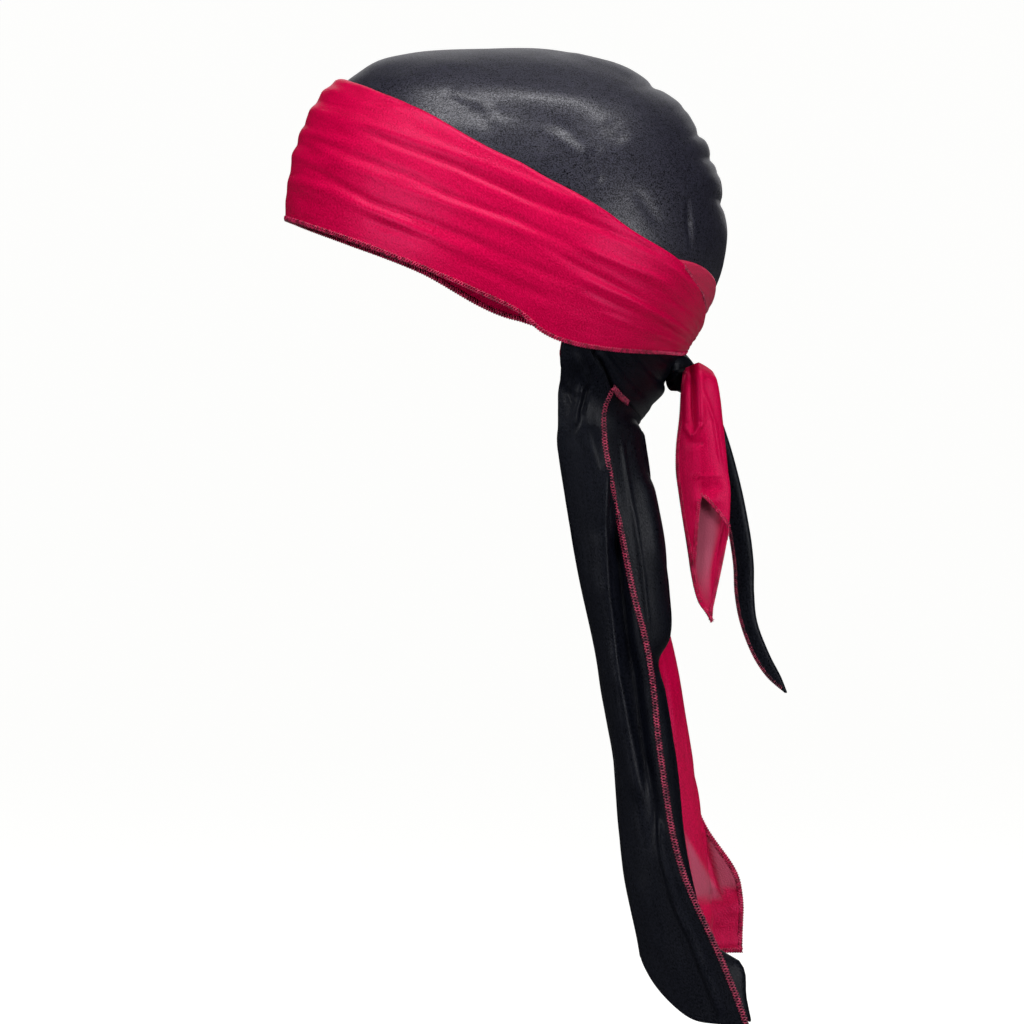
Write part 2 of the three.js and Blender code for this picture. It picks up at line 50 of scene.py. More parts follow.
# %% [markdown]
# ## The form under the cloth
#
# Cloth takes its shape from what it is stretched over. Here that is a smooth rounded form, and a
# place on it is given by a turn round it (0 at the forehead, 90 at the left side, 180 at the back)
# and a fall below the top. It could be sculpted, but as a formula every layer can follow it at
# its own small height, so that crown, straps and tail lie on each other without touching.

# %% Smooth tables and small helpers
def table(names, *rows):
    """Columns of a table by name."""
    return dict(zip(names.split(), np.array(rows, float).T))


def between(start, end, leave, arrive, t):
    """Smooth way from start to end as t goes from 0 to 1, with its slopes at both."""
    before = start * (1 + 2 * t) * (1 - t) ** 2 + leave * t * (1 - t) ** 2
    after = end * (3 - 2 * t) * t**2 - arrive * t**2 * (1 - t)
    return before + after


def smooth_through(places, values, at):
    """Smooth curve through values at places, read at any place. Values may have several parts."""
    places, values = np.asarray(places, float), np.asarray(values, float)
    slope = np.empty_like(values)
    wide = places[2:] - places[:-2]
    slope[1:-1] = (values[2:] - values[:-2]) / wide.reshape(-1, *([1] * (values.ndim - 1)))
    slope[0] = (values[1] - values[0]) / (places[1] - places[0])
    slope[-1] = (values[-1] - values[-2]) / (places[-1] - places[-2])
    at = np.clip(at, places[0], places[-1])
    i = np.clip(np.searchsorted(places, at, side="right") - 1, 0, len(places) - 2)
    span = places[i + 1] - places[i]
    t = (at - places[i]) / span
    if values.ndim > 1:
        extra = (...,) + (None,) * (values.ndim - 1)
        span, t = span[extra], t[extra]
    return between(values[i], values[i + 1], slope[i] * span, slope[i + 1] * span, t)


def column(rows, name, at):
    """A column of a table, read at places in its first column."""
    return smooth_through(next(iter(rows.values())), rows[name], at)


def ease(x, start, end):
    t = np.clip((x - start) / (end - start), 0, 1)
    return t * t * (3 - 2 * t)


def bump(x, centre, wide):
    return np.exp(-(((x - centre) / wide) ** 2))


def shares(count, ends=(0.0008, 0.003, 0.007)):
    """Even shares from 0 to 1, with a few more close to both ends for the turned edges."""
    inner = np.linspace(0, 1, count + 1)
    close = np.array(ends)
    return np.unique(np.concatenate([inner, close, 1 - close]))


# %% The form: sizes and points
HEAD_FRONT = 97 * MM
HEAD_BACK = 105 * MM
HEAD_HALF_WIDTH = 77 * MM
CROWN_DROP = 98 * MM
BREADTH_BEHIND = 8 * MM
NAPE_START = 8 * MM
NAPE_LENGTH = 103 * MM
NAPE_TUCK = 45 * MM
NECK_TUCK = 19 * MM
FRONT_PROFILE, BACK_PROFILE, WIDTH_PROFILE = 3, 2.5, 2.3
FRONT_SECTION, BACK_SECTION = 2.3, 2.2
QUARTER = math.pi / 2


def level_of(fall):
    fall = np.asarray(fall, float)
    return np.where(fall <= 1, np.arccos(np.clip(1 - fall, -1, 1)) / QUARTER, 1 + (fall - 1) / QUARTER)


def fall_of(level):
    level = np.asarray(level, float)
    return np.where(level <= 1, 1 - np.cos(level * QUARTER), 1 + (level - 1) * QUARTER)


def head_point(turn, fall, lift):
    """Points of the form at turns in degrees and falls, with the form grown by lift in metres."""
    turn, fall, lift = np.broadcast_arrays(np.asarray(turn, float), fall, lift)
    up = np.maximum(0, 1 - fall)

    def rounded(power):
        return np.power(np.maximum(0, 1 - np.power(up, power)), 1 / power)

    tuck = ease((fall - 1) * CROWN_DROP + NAPE_START, 0, NAPE_LENGTH)
    breadth = BREADTH_BEHIND * rounded(WIDTH_PROFILE)
    front = (HEAD_FRONT + lift) * rounded(FRONT_PROFILE) + breadth
    back = (HEAD_BACK + lift - NAPE_TUCK * tuck) * rounded(BACK_PROFILE) - breadth
    half = (HEAD_HALF_WIDTH + lift - NECK_TUCK * tuck) * rounded(WIDTH_PROFILE)
    ahead = np.cos(np.radians(turn))
    aside = np.sin(np.radians(turn))
    power = np.where(ahead > 0, 2 / FRONT_SECTION, 2 / BACK_SECTION)
    reach = np.where(ahead > 0, front, back)
    x = half * np.sign(aside) * np.abs(aside) ** power
    y = breadth - reach * np.sign(ahead) * np.abs(ahead) ** power
    return np.stack([x, y, -CROWN_DROP * fall + lift * up], axis=-1)


print("top back point", head_point(180, 1.0, 0).round(4))

# %% [markdown]
# ## From a grid of points to a cloth
#
# A real cloth has two faces and a thin turned edge. A grid of points is the middle of the cloth;
# this helper lays one face on each side of it and lets the two meet at the border, so that the
# edge catches a fine line of light. Solidify does much the same, but leaves a square edge.
# The map of the cloth, in metres, goes with it, so that the grain keeps its true size.

# %% Cloth from a grid
def grid_normals(middle):
    """Unit normals of a grid of points."""
    down = np.gradient(middle, axis=0)
    across = np.gradient(middle, axis=1)
    normal = np.cross(down, across)
    length = np.linalg.norm(normal, axis=-1, keepdims=True)
    return normal / np.maximum(length, 1e-12)


def run_length(points, axis):
    """Distance along a grid from its first row or column, averaged over the other way."""
    steps = np.linalg.norm(np.diff(points, axis=axis), axis=-1).mean(axis=1 - axis)
    return np.concatenate([[0], np.cumsum(steps)])


def edge_taper(middle, reach):
    """1 inside the cloth, falling to 0 at its border as a round edge of that reach."""
    taper = np.ones(middle.shape[:2])
    for axis in (0, 1):
        run = run_length(middle, axis)
        near = np.clip(np.minimum(run, run[-1] - run) / reach, 0, 1)
        round_edge = np.sqrt(1 - (1 - near) ** 2)
        taper = np.minimum(taper, round_edge[:, None] if axis == 0 else round_edge[None, :])
    return taper


MAP_SCALE = 10
MERGE_REACH, THIN_FACE = 1e-6, 1e-7


def quad_faces(index):
    """Faces between the rows and columns of a grid of point numbers."""
    corners = [index[:-1, :-1], index[1:, :-1], index[1:, 1:], index[:-1, 1:]]
    return np.stack(corners, -1).reshape(-1, 4)


def new_piece(name, points, edges, faces):
    """Object in the scene with a smooth mesh of its own."""
    mesh = bpy.data.meshes.new(name)
    mesh.from_pydata(points, edges, faces)
    if faces:
        mesh.polygons.foreach_set("use_smooth", np.ones(len(faces), bool))
    piece = bpy.data.objects.new(name, mesh)
    bpy.context.scene.collection.objects.link(piece)
    return piece


def clean(mesh, merge=0.0, thin=0.0, outward=False):
    """Merge points closer than merge, dissolve what is thinner than thin, turn faces outward."""
    work = bmesh.new()
    work.from_mesh(mesh)
    if merge:
        bmesh.ops.remove_doubles(work, verts=work.verts, dist=merge)
    if thin:
        bmesh.ops.dissolve_degenerate(work, edges=work.edges, dist=thin)
    if outward:
        bmesh.ops.recalc_face_normals(work, faces=work.faces)
    work.to_mesh(mesh)
    work.free()
    mesh.update()


def cloth_piece(name, points, faces, flat, pale, material, **cleaning):
    """Piece with its map, its pale places and its material."""
    piece = new_piece(name, points.tolist(), [], faces.tolist())
    mesh = piece.data
    layer = mesh.uv_layers.new(name="cloth")
    layer.data.foreach_set("uv", (flat[faces.ravel()] * MAP_SCALE).ravel())
    mesh.attributes.new("pale", "FLOAT", "POINT").data.foreach_set("value", pale)
    clean(mesh, merge=MERGE_REACH, **cleaning)
    mesh.materials.append(material)
    area = sum(p.area for p in mesh.polygons) / 2
    print(f"{name}: {len(mesh.polygons)} faces, half its surface {area * 1e4:.0f} cm2")
    return piece


def cloth(name, middle, thick, material, pale=None, normals=None):
    """Closed mesh of a cloth from the grid of its middle. pale marks where a paler colour is painted as
    light: light through a single layer, or light on a shaded stretch.
    """
    rows, columns = middle.shape[:2]
    normal = grid_normals(middle) if normals is None else normals
    half = thick / 2 * edge_taper(middle, max(thick, 0.8 * MM))[..., None]
    inside = np.zeros((rows, columns), bool)
    inside[1:-1, 1:-1] = True
    front = np.arange(rows * columns).reshape(rows, columns)
    back = front.copy()
    back[inside] = rows * columns + np.arange(inside.sum())
    points = np.vstack([(middle + normal * half).reshape(-1, 3), (middle - normal * half)[inside]])
    faces = np.vstack([quad_faces(front), quad_faces(back)[:, ::-1]])
    corner = points[faces]
    volume = np.einsum("ij,ij->i", corner[:, 0], np.cross(corner[:, 1], corner[:, 2])).sum()
    volume += np.einsum("ij,ij->i", corner[:, 0], np.cross(corner[:, 2], corner[:, 3])).sum()
    if volume < 0:
        faces = faces[:, ::-1]
    flat = np.stack(np.meshgrid(run_length(middle, 1), run_length(middle, 0)), -1)
    flat = np.vstack([flat.reshape(-1, 2), flat[inside]])
    painted_light = np.zeros((rows, columns)) if pale is None else np.clip(pale, 0, 1)
    painted_light = np.concatenate([painted_light.ravel(), painted_light[inside]])
    return cloth_piece(name, points, faces, flat, painted_light, material, thin=THIN_FACE)


# %% Creases
def creases(points, rows):
    """Height in metres of creases seen from the side: each runs from one place to another in
    millimetres back (Y) and up (Z), is wide and high in millimetres, and dies away at its ends.
    A seventh number is its width on the left of its run, where that differs."""
    y, z = points[..., 1] / MM, points[..., 2] / MM
    height = np.zeros(y.shape)
    for y1, z1, y2, z2, wide, high, *left in rows:
        run = np.array([y2 - y1, z2 - z1])
        share = ((y - y1) * run[0] + (z - z1) * run[1]) / (run @ run)
        off = ((y - y1) * run[1] - (z - z1) * run[0]) / math.sqrt(run @ run)
        ends = ease(share, -0.1, 0.25) * ease(share, 1.1, 0.75)
        reach = np.where(off > 0, left[0] if left else wide, wide)
        height += high * np.exp(-((off / reach) ** 2)) * ends
    return height * MM


def patch(points, *corners, soft=1.6):
    """1 inside a three-cornered patch seen from the side, corners in mm back and up, clockwise."""
    y, z = points[..., 1] / MM, points[..., 2] / MM
    inside = np.ones(y.shape)
    for (y1, z1), (y2, z2) in zip(corners, corners[1:] + corners[:1]):
        off = ((y - y1) * (z2 - z1) - (z - z1) * (y2 - y1)) / math.hypot(y2 - y1, z2 - z1)
        inside = np.minimum(inside, ease(off, -soft / 2, soft / 2))
    return inside


def ripple(points, size, seed, amount):
    """Soft uneven waves in metres through points: a few sines in seeded random directions."""
    rng = np.random.default_rng(seed)
    total = np.zeros(points.shape[:-1])
    for _ in range(7):
        way = rng.normal(size=3)
        way *= 2 * math.pi / (size * rng.uniform(0.7, 1.6)) / np.linalg.norm(way)
        total += np.sin(points @ way + rng.uniform(0, 2 * math.pi))
    return amount * total / 3.5


# %% [markdown]
# ## Satin
#
# Satin shows long floats of thread: a soft broad shine with a fine grain that runs along the
# cloth. The grain could be a picture, but a node group of stretched noise read from the cloth's
# own map stays sharp and follows every fold. It gives a tone, a height and a dullness, and each
# satin mixes them in its own strength. The shine itself is set on the shader.

# %% Grain group
def group_tree(name, inputs, outputs):
    tree = bpy.data.node_groups.new(name, "ShaderNodeTree")
    for label, kind, value in inputs:
        socket = tree.interface.new_socket(label, in_out="INPUT", socket_type=kind)
        if value is not None:
            socket.default_value = value
    for label, kind in outputs:
        tree.interface.new_socket(label, in_out="OUTPUT", socket_type=kind)
    return tree, tree.nodes.new("NodeGroupInput"), tree.nodes.new("NodeGroupOutput")


def math_node(tree, operation, *values):
    node = tree.nodes.new("ShaderNodeMath")
    node.operation = operation
    for socket, value in zip(node.inputs, values):
        if isinstance(value, (int, float)):
            socket.default_value = value
        else:
            tree.links.new(value, socket)
    return node.outputs[0]


def noise(tree, vector, scale, detail=2.0, rough=0.5):
    node = tree.nodes.new("ShaderNodeTexNoise")
    node.inputs["Scale"].default_value = scale
    node.inputs["Detail"].default_value = detail
    node.inputs["Roughness"].default_value = rough
    tree.links.new(vector, node.inputs["Vector"])
    return node.outputs["Fac"]


def stretched(tree, vector, size):
    node = tree.nodes.new("ShaderNodeMapping")
    node.inputs["Scale"].default_value = size
    tree.links.new(vector, node.inputs["Vector"])
    return node.outputs["Vector"]


FINE_GRAIN = (150, 95, 120)
SLUB_GRAIN = (46, 6, 46)
SOLID_MAP = (15, 15, 15)
THREAD_TWIST = (480, 480, 480)


def satin_grain():
    number = "NodeSocketFloat"
    tree, given, result = group_tree(
        "satin grain",
        [("Map", "NodeSocketVector", None), ("Grain", number, 1.0), ("Slub", number, 1.0)],
        [("Tone", number), ("Height", number), ("Dullness", number)],
    )
    fine = noise(tree, stretched(tree, given.outputs["Map"], FINE_GRAIN), 1.0, 1.5, 0.6)
    slub = noise(tree, stretched(tree, given.outputs["Map"], SLUB_GRAIN), 1.0, 2.0, 0.6)
    cloud = noise(tree, given.outputs["Map"], 3.0, 2.0)
    fine_part = math_node(tree, "MULTIPLY", math_node(tree, "SUBTRACT", fine, 0.5), given.outputs["Grain"])
    slub_part = math_node(tree, "MULTIPLY", math_node(tree, "SUBTRACT", slub, 0.5), given.outputs["Slub"])
    both = math_node(tree, "ADD", fine_part, slub_part)
    tone = math_node(tree, "ADD", both, 0.5)
    tone = math_node(tree, "MINIMUM", math_node(tree, "MAXIMUM", tone, 0.0), 1.0)
    tree.links.new(tone, result.inputs["Tone"])
    tree.links.new(tone, result.inputs["Height"])
    dull = math_node(tree, "ADD", math_node(tree, "MULTIPLY", both, 0.8), cloud)
    tree.links.new(dull, result.inputs["Dullness"])
    return tree


GRAIN = satin_grain()
print("group:", GRAIN.name)


# %% Satin materials
def colour_mix(tree, factor, low, high):
    node = tree.nodes.new("ShaderNodeMix")
    node.data_type = "RGBA"
    for socket, value in ((node.inputs[0], factor), (node.inputs[6], low), (node.inputs[7], high)):
        if isinstance(value, tuple):
            socket.default_value = (*value, 1)
        elif isinstance(value, (int, float)):
            socket.default_value = value
        else:
            tree.links.new(value, socket)
    return node.outputs[2]


def new_material(name):
    material = bpy.data.materials.new(name)
    material.use_nodes = True
    return material, material.node_tree, material.node_tree.nodes["Principled BSDF"]


def satin(name, deep, light, thin, rough, shine, shine_tint, gloss, grain, slub, depth,
          coat_rough=0.34, solid=False):
    """A satin: deep and light are its thread colours, thin is the paler colour painted as light where one
    layer lets light through and where a shaded stretch is painted lighter, shine_tint colours the shine,
    because the light comes back out of dyed thread, and gloss is how much of the brightest threads shines
    like a clear film.
    solid reads the grain from the place in space instead of the cloth's map, for a cloth that is stretched
    round a form."""
    material, tree, shader = new_material(name)
    group = tree.nodes.new("ShaderNodeGroup")
    group.node_tree = GRAIN
    group.inputs["Grain"].default_value = grain
    group.inputs["Slub"].default_value = slub
    if solid:
        place = tree.nodes.new("ShaderNodeTexCoord")
        grain_map = stretched(tree, place.outputs["Object"], SOLID_MAP)
    else:
        uv = tree.nodes.new("ShaderNodeUVMap")
        uv.uv_map = "cloth"
        grain_map = uv.outputs["UV"]
    tree.links.new(grain_map, group.inputs["Map"])
    # painted light: the pale attribute mixes in the paler thin colour where light shines through one layer,
    # and on a shaded stretch that is painted lighter
    painted_light = tree.nodes.new("ShaderNodeAttribute")
    painted_light.attribute_name = "pale"
    thread = colour_mix(tree, group.outputs["Tone"], deep, light)
    tree.links.new(colour_mix(tree, painted_light.outputs["Fac"], thread, thin), shader.inputs["Base Color"])
    spread = math_node(tree, "MULTIPLY", math_node(tree, "SUBTRACT", group.outputs["Dullness"], 0.5), 0.25)
    tree.links.new(math_node(tree, "ADD", spread, rough), shader.inputs["Roughness"])
    relief = tree.nodes.new("ShaderNodeBump")
    relief.inputs["Strength"].default_value = 0.5
    relief.inputs["Distance"].default_value = depth
    tree.links.new(group.outputs["Height"], relief.inputs["Height"])
    tree.links.new(relief.outputs["Normal"], shader.inputs["Normal"])
    shader.inputs["Specular IOR Level"].default_value = shine
    shader.inputs["Specular Tint"].default_value = (*shine_tint, 1)
    tree.links.new(math_node(tree, "MULTIPLY", group.outputs["Tone"], gloss), shader.inputs["Coat Weight"])
    shader.inputs["Coat Roughness"].default_value = coat_rough
    shader.inputs["Coat Tint"].default_value = (*shine_tint, 1)
    print("material:", name)
    return material


# painted light and shade: one black satin made in two copies. The crown's copy has a lighter colour and
# more shine, where the light falls; the copy for the nape strap, knot, tail and black end is painted
# darker, as shade.
BLACK_SATIN_PAINTED_SHADE = satin(
    "black satin", deep=(0.0005, 0.0008, 0.0016), light=(0.0036, 0.0042, 0.008), thin=(0.05, 0.05, 0.075),
    rough=0.42, shine=0.07, shine_tint=(0.82, 0.86, 1.0), gloss=0.12, grain=3.4, slub=1.0, depth=0.0002)
CROWN_SATIN_PAINTED_LIGHTER = satin(
    "black satin, painted lighter", deep=(0.0008, 0.001, 0.002), light=(0.020, 0.020, 0.031),
    thin=(0.1, 0.1, 0.13),
    rough=0.46, shine=0.20, shine_tint=(0.90, 0.88, 1.0), gloss=0.68, grain=4.4, slub=1.0, depth=0.0002,
    coat_rough=0.33, solid=True)
CRIMSON_SATIN = satin(
    "crimson satin", deep=(0.32, 0.0, 0.026), light=(0.60, 0.0, 0.060), thin=(0.36, 0.085, 0.13),
    rough=0.42, shine=0.5, shine_tint=(1.0, 0.08, 0.32), gloss=0.05, grain=2.0, slub=0.8, depth=0.0002)


def thread_material(name, colour, light):
    """Polyester thread: a little shine and a twist that runs round it."""
    material, tree, shader = new_material(name)
    place = tree.nodes.new("ShaderNodeTexCoord")
    ply = noise(tree, stretched(tree, place.outputs["Object"], THREAD_TWIST), 1.0, 1.0)
    twist = math_node(tree, "MULTIPLY", math_node(tree, "SUBTRACT", ply, 0.5), 4.0)
    twist = math_node(tree, "ADD", twist, 0.5)
    tree.links.new(colour_mix(tree, twist, colour, light), shader.inputs["Base Color"])
    shader.inputs["Roughness"].default_value = 0.45
    return material


PINK_THREAD = thread_material("dusky pink thread", (0.075, 0.004, 0.02), (0.42, 0.03, 0.085))
RED_THREAD = thread_material("red thread", (0.20, 0.0, 0.026), (0.62, 0.015, 0.10))

# %% [markdown]
# ## The crown
#
# Two panels of black satin meet in a seam over the middle of the head. Cloth has to give up
# length to go round the back, so it gathers into soft humps with sharp notches between them,
# deepest at the seam. The humps are heights added to the form, each listed in a table.

# %% Tables of the worn straps
BAND = table(
    "turn top bottom lift ridge",
    (-228, 1.0, 1.39, 0, 0),
    (-212, 1.03, 1.4, 0, 0),
    (-195, 1.1, 1.4, 0, 0),
    (-180, 1.18, 1.4, 0, 0),
    (-165, 1.15, 1.4, 0, 0.3),
    (-150, 1.08, 1.4, 0, 0.6),
    (-135, 0.99, 1.39, 0, 0.8),
    (-115, 0.83, 1.38, 0, 1),
    (-90, 0.547, 1.28, 0, 1),
    (-68, 0.33, 1.05, 0.2, 1),
    (-45, 0.222, 0.92, 0.4, 1),
    (-20, 0.172, 0.84, 0.6, 1),
    (0, 0.165, 0.82, 0.6, 1),
    (20, 0.172, 0.84, 0.6, 1),
    (45, 0.222, 0.92, 0.4, 1),
    (68, 0.33, 1.05, 0.4, 1),
    (87, 0.52, 1.22, 0.7, 1),
    (96, 0.63, 1.355, 0.9, 1),
    (106, 0.727, 1.415, 1, 1),
    (121, 0.888, 1.445, 1, 1),
    (137, 1.01, 1.455, 1, 1),
    (152, 1.146, 1.457, 1, 0.8),
    (168, 1.25, 1.46, 1, 0.55),
    (180, 1.33, 1.452, 1.2, 0.35),
)
RIM = table(
    "turn rim",
    (0, 0.79), (30, 0.83), (60, 0.985), (75, 1.08), (87, 1.2), (98, 1.31), (105, 1.395),
    (112, 1.43), (140, 1.39), (180, 1.39),
)
WRAP = table(
    "turn top bottom",
    (116, 1.43, 1.46), (119, 1.43, 1.48), (125, 1.43, 1.55), (131, 1.43, 1.615), (141, 1.43, 1.67),
    (156, 1.43, 1.725), (180, 1.43, 1.775),
)
CLOTH_WALL = 1.2 * MM
LAYER = 1.8 * MM
GATHERS = [
    # turn, level, rise in mm, spread in degrees, spread in level
    (176, 0.28, 1.1, 22, 0.07),
    (172, 0.49, 1.5, 18, 0.065),
    (174, 0.64, 1.1, 14, 0.035),
    (170, 0.76, 1.4, 16, 0.05),
    (174, 0.91, 1.0, 15, 0.05),
    (4, 0.24, 0.8, 40, 0.06),
    (6, 0.40, 0.7, 24, 0.05),
    (70, 0.30, 0.7, 14, 0.08),
    (96, 0.50, 0.8, 9, 0.10),
    (118, 0.64, 0.8, 8, 0.12),
]
NOTCHES = [
    # level, depth in mm, width in level, slant of the notch away from the seam
    (0.385, 1.3, 0.020, 0.10),
    (0.593, 1.5, 0.016, 0.16),
    (0.683, 1.2, 0.014, 0.05),
    (0.832, 1.4, 0.018, -0.12),
    (0.735, 0.5, 0.012, 0.02),
    (0.50, 0.5, 0.015, 0.12),
]
CROWN_CREASES = [
    # back, up, back, up, wide, high
    (-60, -19, 2, -18, 7, 0.9),
    (-6, -18, 46, -27, 7, 0.9),
    (-32, -31, 10, -33, 5, -0.6),
    (4, -33, 50, -42, 5, -0.35),
    (-27, -22, -16, -29, 1.4, -0.35),
    (-21, -20.7, -10, -27.7, 2.4, 0.3),
    (-11, -27.7, -6.6, -40, 1.8, -0.45),
    (-6.6, -27, -1.4, -38, 2.6, 0.35),
    (-6, -24, 2, -34, 1.8, -0.25),
    (17.9, -40, 19.3, -50, 1.0, -0.5),
    (20, -39, 41, -55, 2.8, 0.35),
    (26, -35, 40.5, -48.5, 2.8, -0.45),
    (42.6, -49, 40.6, -63, 1.3, -1.5),
    (45.8, -48, 45, -64, 2.0, 0.7),
    (49.4, -35, 57.3, -45, 4.2, -0.4),
    (86.5, -70, 87.4, -85, 0.9, -0.8),
    (87.0, -80, 88.2, -101, 0.9, -1.0),
    (89.8, -73, 90.8, -101, 2.2, 0.25),
    (31.5, -2, 50, -8, 1.6, 0.6),
    (48, -7, 63, -13.5, 1.6, 0.6),
    (62, -66, 74, -84, 3.0, -0.4),
]


# %% Crown panels
def bare_above(turn, side):
    """Level at which the band starts to cover the crown, on one side."""
    own = level_of(column(BAND, "top", side * turn))
    first = level_of(column(BAND, "top", -360 + side * turn if side > 0 else -360 - turn))
    return np.where((side > 0) & (turn >= 132), np.minimum(own, first), own)


def crown_panel(side):
    name = "crown_left" if side > 0 else "crown_right"
    down = shares(150)[:, None] ** 1.25
    turn = 180 * shares(170)[None, :]
    level = down * level_of(column(RIM, "rim", turn))
    fall = fall_of(level)
    base = head_point(turn, fall, 0)
    x = np.abs(base[..., 0]) / MM
    seam = np.exp(-((x / 22) ** 2))
    height = np.zeros(level.shape)
    for at, across, rise, wide, tall in GATHERS:
        height += rise * MM * bump(turn, at, wide) * bump(level, across, tall)
    back = ease(turn, 90, 140)
    for at, depth, wide, slant in NOTCHES:
        height -= depth * MM * bump(level, at + slant * x / 200, wide) * seam * back
    height += creases(base, CROWN_CREASES) * ease(x, 3, 12) * (1 if side > 0 else 0.45)
    height += ripple(base, 46 * MM, 3 + side, 0.30 * MM) + ripple(base, 17 * MM, 8 + side, 0.06 * MM)
    height -= 0.5 * MM * np.exp(-((x / 1.8) ** 2))
    height *= ease(bare_above(turn, side) - level, 0, 0.1)
    points = head_point(turn, fall, 0.6 * CLOTH_WALL + height)
    points[..., 0] = side * (np.abs(points[..., 0]) - 0.12 * MM * bump(x, 0, 3))
    normals = grid_normals(points)
    outward = points - np.array([0, 5 * MM, -70 * MM])
    normals = normals * np.sign((normals * outward).sum(-1, keepdims=True))
    normals[:1] = (0, 0, 1)
    return cloth(name + "_panel", points, 0.9 * MM, CROWN_SATIN_PAINTED_LIGHTER, normals=normals)


crown_panels = {side: crown_panel(side) for side in (1, -1)}

# %% [markdown]
# ## The wide crimson strap
#
# One long strap of crimson satin goes once round the back, then over the right side, the
# forehead and the left side to the knot. Its upper edge is a fold and its lower edge is
# overlocked. Long folds run with it and draw together at the knot.

# %% Band folds
BAND_FOLDS = [
    # share of the width at the forehead, at the left side and at the knot, height, width
    (0.030, 0.020, 0.03, 0.35, 0.020),
    (0.130, 0.100, 0.14, 0.95, 0.035),
    (0.235, 0.205, 0.22, -0.45, 0.020),
    (0.300, 0.300, 0.30, 0.75, 0.032),
    (0.385, 0.395, 0.38, -0.50, 0.022),
    (0.455, 0.470, 0.47, 0.70, 0.030),
    (0.540, 0.560, 0.55, -0.55, 0.022),
    (0.610, 0.640, 0.64, 0.80, 0.034),
    (0.700, 0.740, 0.72, -0.40, 0.024),
    (0.780, 0.820, 0.81, 0.60, 0.036),
    (0.900, 0.920, 0.90, 0.45, 0.040),
]


BAND_CREASES = [
    # back, up, back, up, wide, high, on the left side where the strap is seen in full
    (-62, -41, -22, -57, 1.8, -1.1), (-30, -53, 14, -73, 1.8, -1.2), (6, -70, 50, -87, 2.0, -1.0),
    (42, -84, 76, -98, 2.0, -0.7),
    (-78, -33, -36, -46, 3.0, 0.7), (-42, -44, 2, -61, 2.6, 0.9), (-4, -59, 27, -71, 2.4, 0.9),
    (20, -69, 68, -85, 2.2, 0.8),
    (-94, -40, -68, -51, 1.8, -0.8), (-72, -50, -37, -63, 1.9, -0.9), (-42, -61, -20, -72, 1.9, -0.9),
    (-26, -70, 12, -83, 2.0, -0.9), (4, -81, 40, -96, 2.0, -0.6),
    (-82, -51, -46, -66, 2.2, 0.8), (-50, -65, -12, -79, 2.2, 0.9), (-18, -77, 24, -92, 2.2, 0.7),
    (-95, -54, -77, -61, 1.8, -0.8), (-81, -60, -57, -74, 1.8, -0.9), (-62, -72, -37, -81, 2.0, -0.9),
    (-42, -79, -4, -94, 2.2, -0.9), (-10, -92, 30, -110, 2.2, -0.7),
    (-94, -62, -70, -71, 2.4, 0.7), (-74, -70, -36, -87, 2.5, 0.8), (-42, -85, -2, -103, 2.5, 0.7),
    (-60, -81, -29, -92, 2.2, -0.7), (-34, -90, -5, -104, 2.4, -0.8), (-10, -102, 24, -119, 2.4, -0.6),
    (-60, -28, -38, -29.5, 0.9, -0.5),
    (20, -94, 62, -117, 2.0, -0.7), (32, -92, 78, -112, 2.0, 0.8), (30, -105, 80, -130, 1.8, 0.8),
    (38, -113, 84, -136, 1.5, -0.8), (50, -113, 88, -136, 1.4, 0.7), (44, -124, 84, -140, 1.4, 0.7),
    (60, -106, 90, -126, 1.6, -0.6), (74, -101, 94, -118, 1.8, 0.7),
]


def band_height(turn, share):
    """Height of the strap's folds over its layer, in metres."""
    height = np.zeros(np.broadcast(turn, share).shape)
    around = np.abs(turn)
    for i, (start, middle, end, high, wide) in enumerate(BAND_FOLDS):
        at = smooth_through([0, 90, 180], [start, middle, end], around)
        at = at + 0.012 * np.sin(np.radians(turn) * (2.3 + 0.37 * i) + 1.7 * i)
        strength = 0.75 + 0.25 * np.sin(np.radians(turn) * (3.1 + 0.2 * i) + 2.1 * i)
        calm = 1 - 0.8 * ease(turn, 18, 48) * ease(turn, 176, 150) - 0.3 * bump(turn, -88, 30)
        height += high * MM * strength * calm * np.exp(-(((share - at) / (wide * 1.15)) ** 2))
    return height


def forehead_band():
    turn = np.linspace(-228, 180, 430)[:, None]
    share = shares(66)[None, :]
    top = level_of(column(BAND, "top", turn))
    bottom = level_of(column(BAND, "bottom", turn))
    level = top + (bottom - top) * share
    lift = LAYER + column(BAND, "lift", turn) * LAYER + 0.75 * MM
    folds = band_height(turn, share) * np.clip(column(BAND, "ridge", turn), 0.25, 1.2)
    width = (bottom - top) * QUARTER * CROWN_DROP
    from_top = share * width / MM
    rolled = 0.9 * MM * np.exp(-((from_top / 1.1) ** 2))
    base = head_point(turn, fall_of(level), 0)
    drawn = creases(base, BAND_CREASES) * ease(turn, 8, 30)
    ripples = ripple(base, 30 * MM, 11, 0.12 * MM) + ripple(base, 9 * MM, 17, 0.04 * MM)
    points = head_point(turn, fall_of(level), lift + folds + drawn - rolled + ripples)
    # painted light: the first pass round the back is painted a quarter of the way to the paler colour, so
    # that it looks lit where it lies in shade
    first_pass = ease(turn, -150, -175) + 0 * share
    piece = cloth("crimson_band", points, 0.8 * MM, CRIMSON_SATIN, pale=0.25 * first_pass)
    return piece, points, turn.ravel()


crimson_band, band_grid, band_turns = forehead_band()

# %% [markdown]
# ## The nape
#
# The black strap passes over the top of the tail and is pulled towards the knot, so its folds
# slant down to the back. Slanted creases on a curved strip show this best.

# %% Nape wrap
WRAP_CREASES = [
    (42, -138, 58, -160, 2.2, 0.9),
    (46, -138, 66, -164, 1.3, -0.8),
    (52, -138, 70, -160, 2.0, 0.9),
    (57, -138, 74, -158, 1.2, -0.8),
    (62, -138, 78, -154, 2.0, 0.8),
    (68, -138, 82, -152, 1.2, -0.7),
    (58, -160, 70, -172, 2.0, 0.8),
    (66, -166, 76, -158, 2.0, 0.6),
]


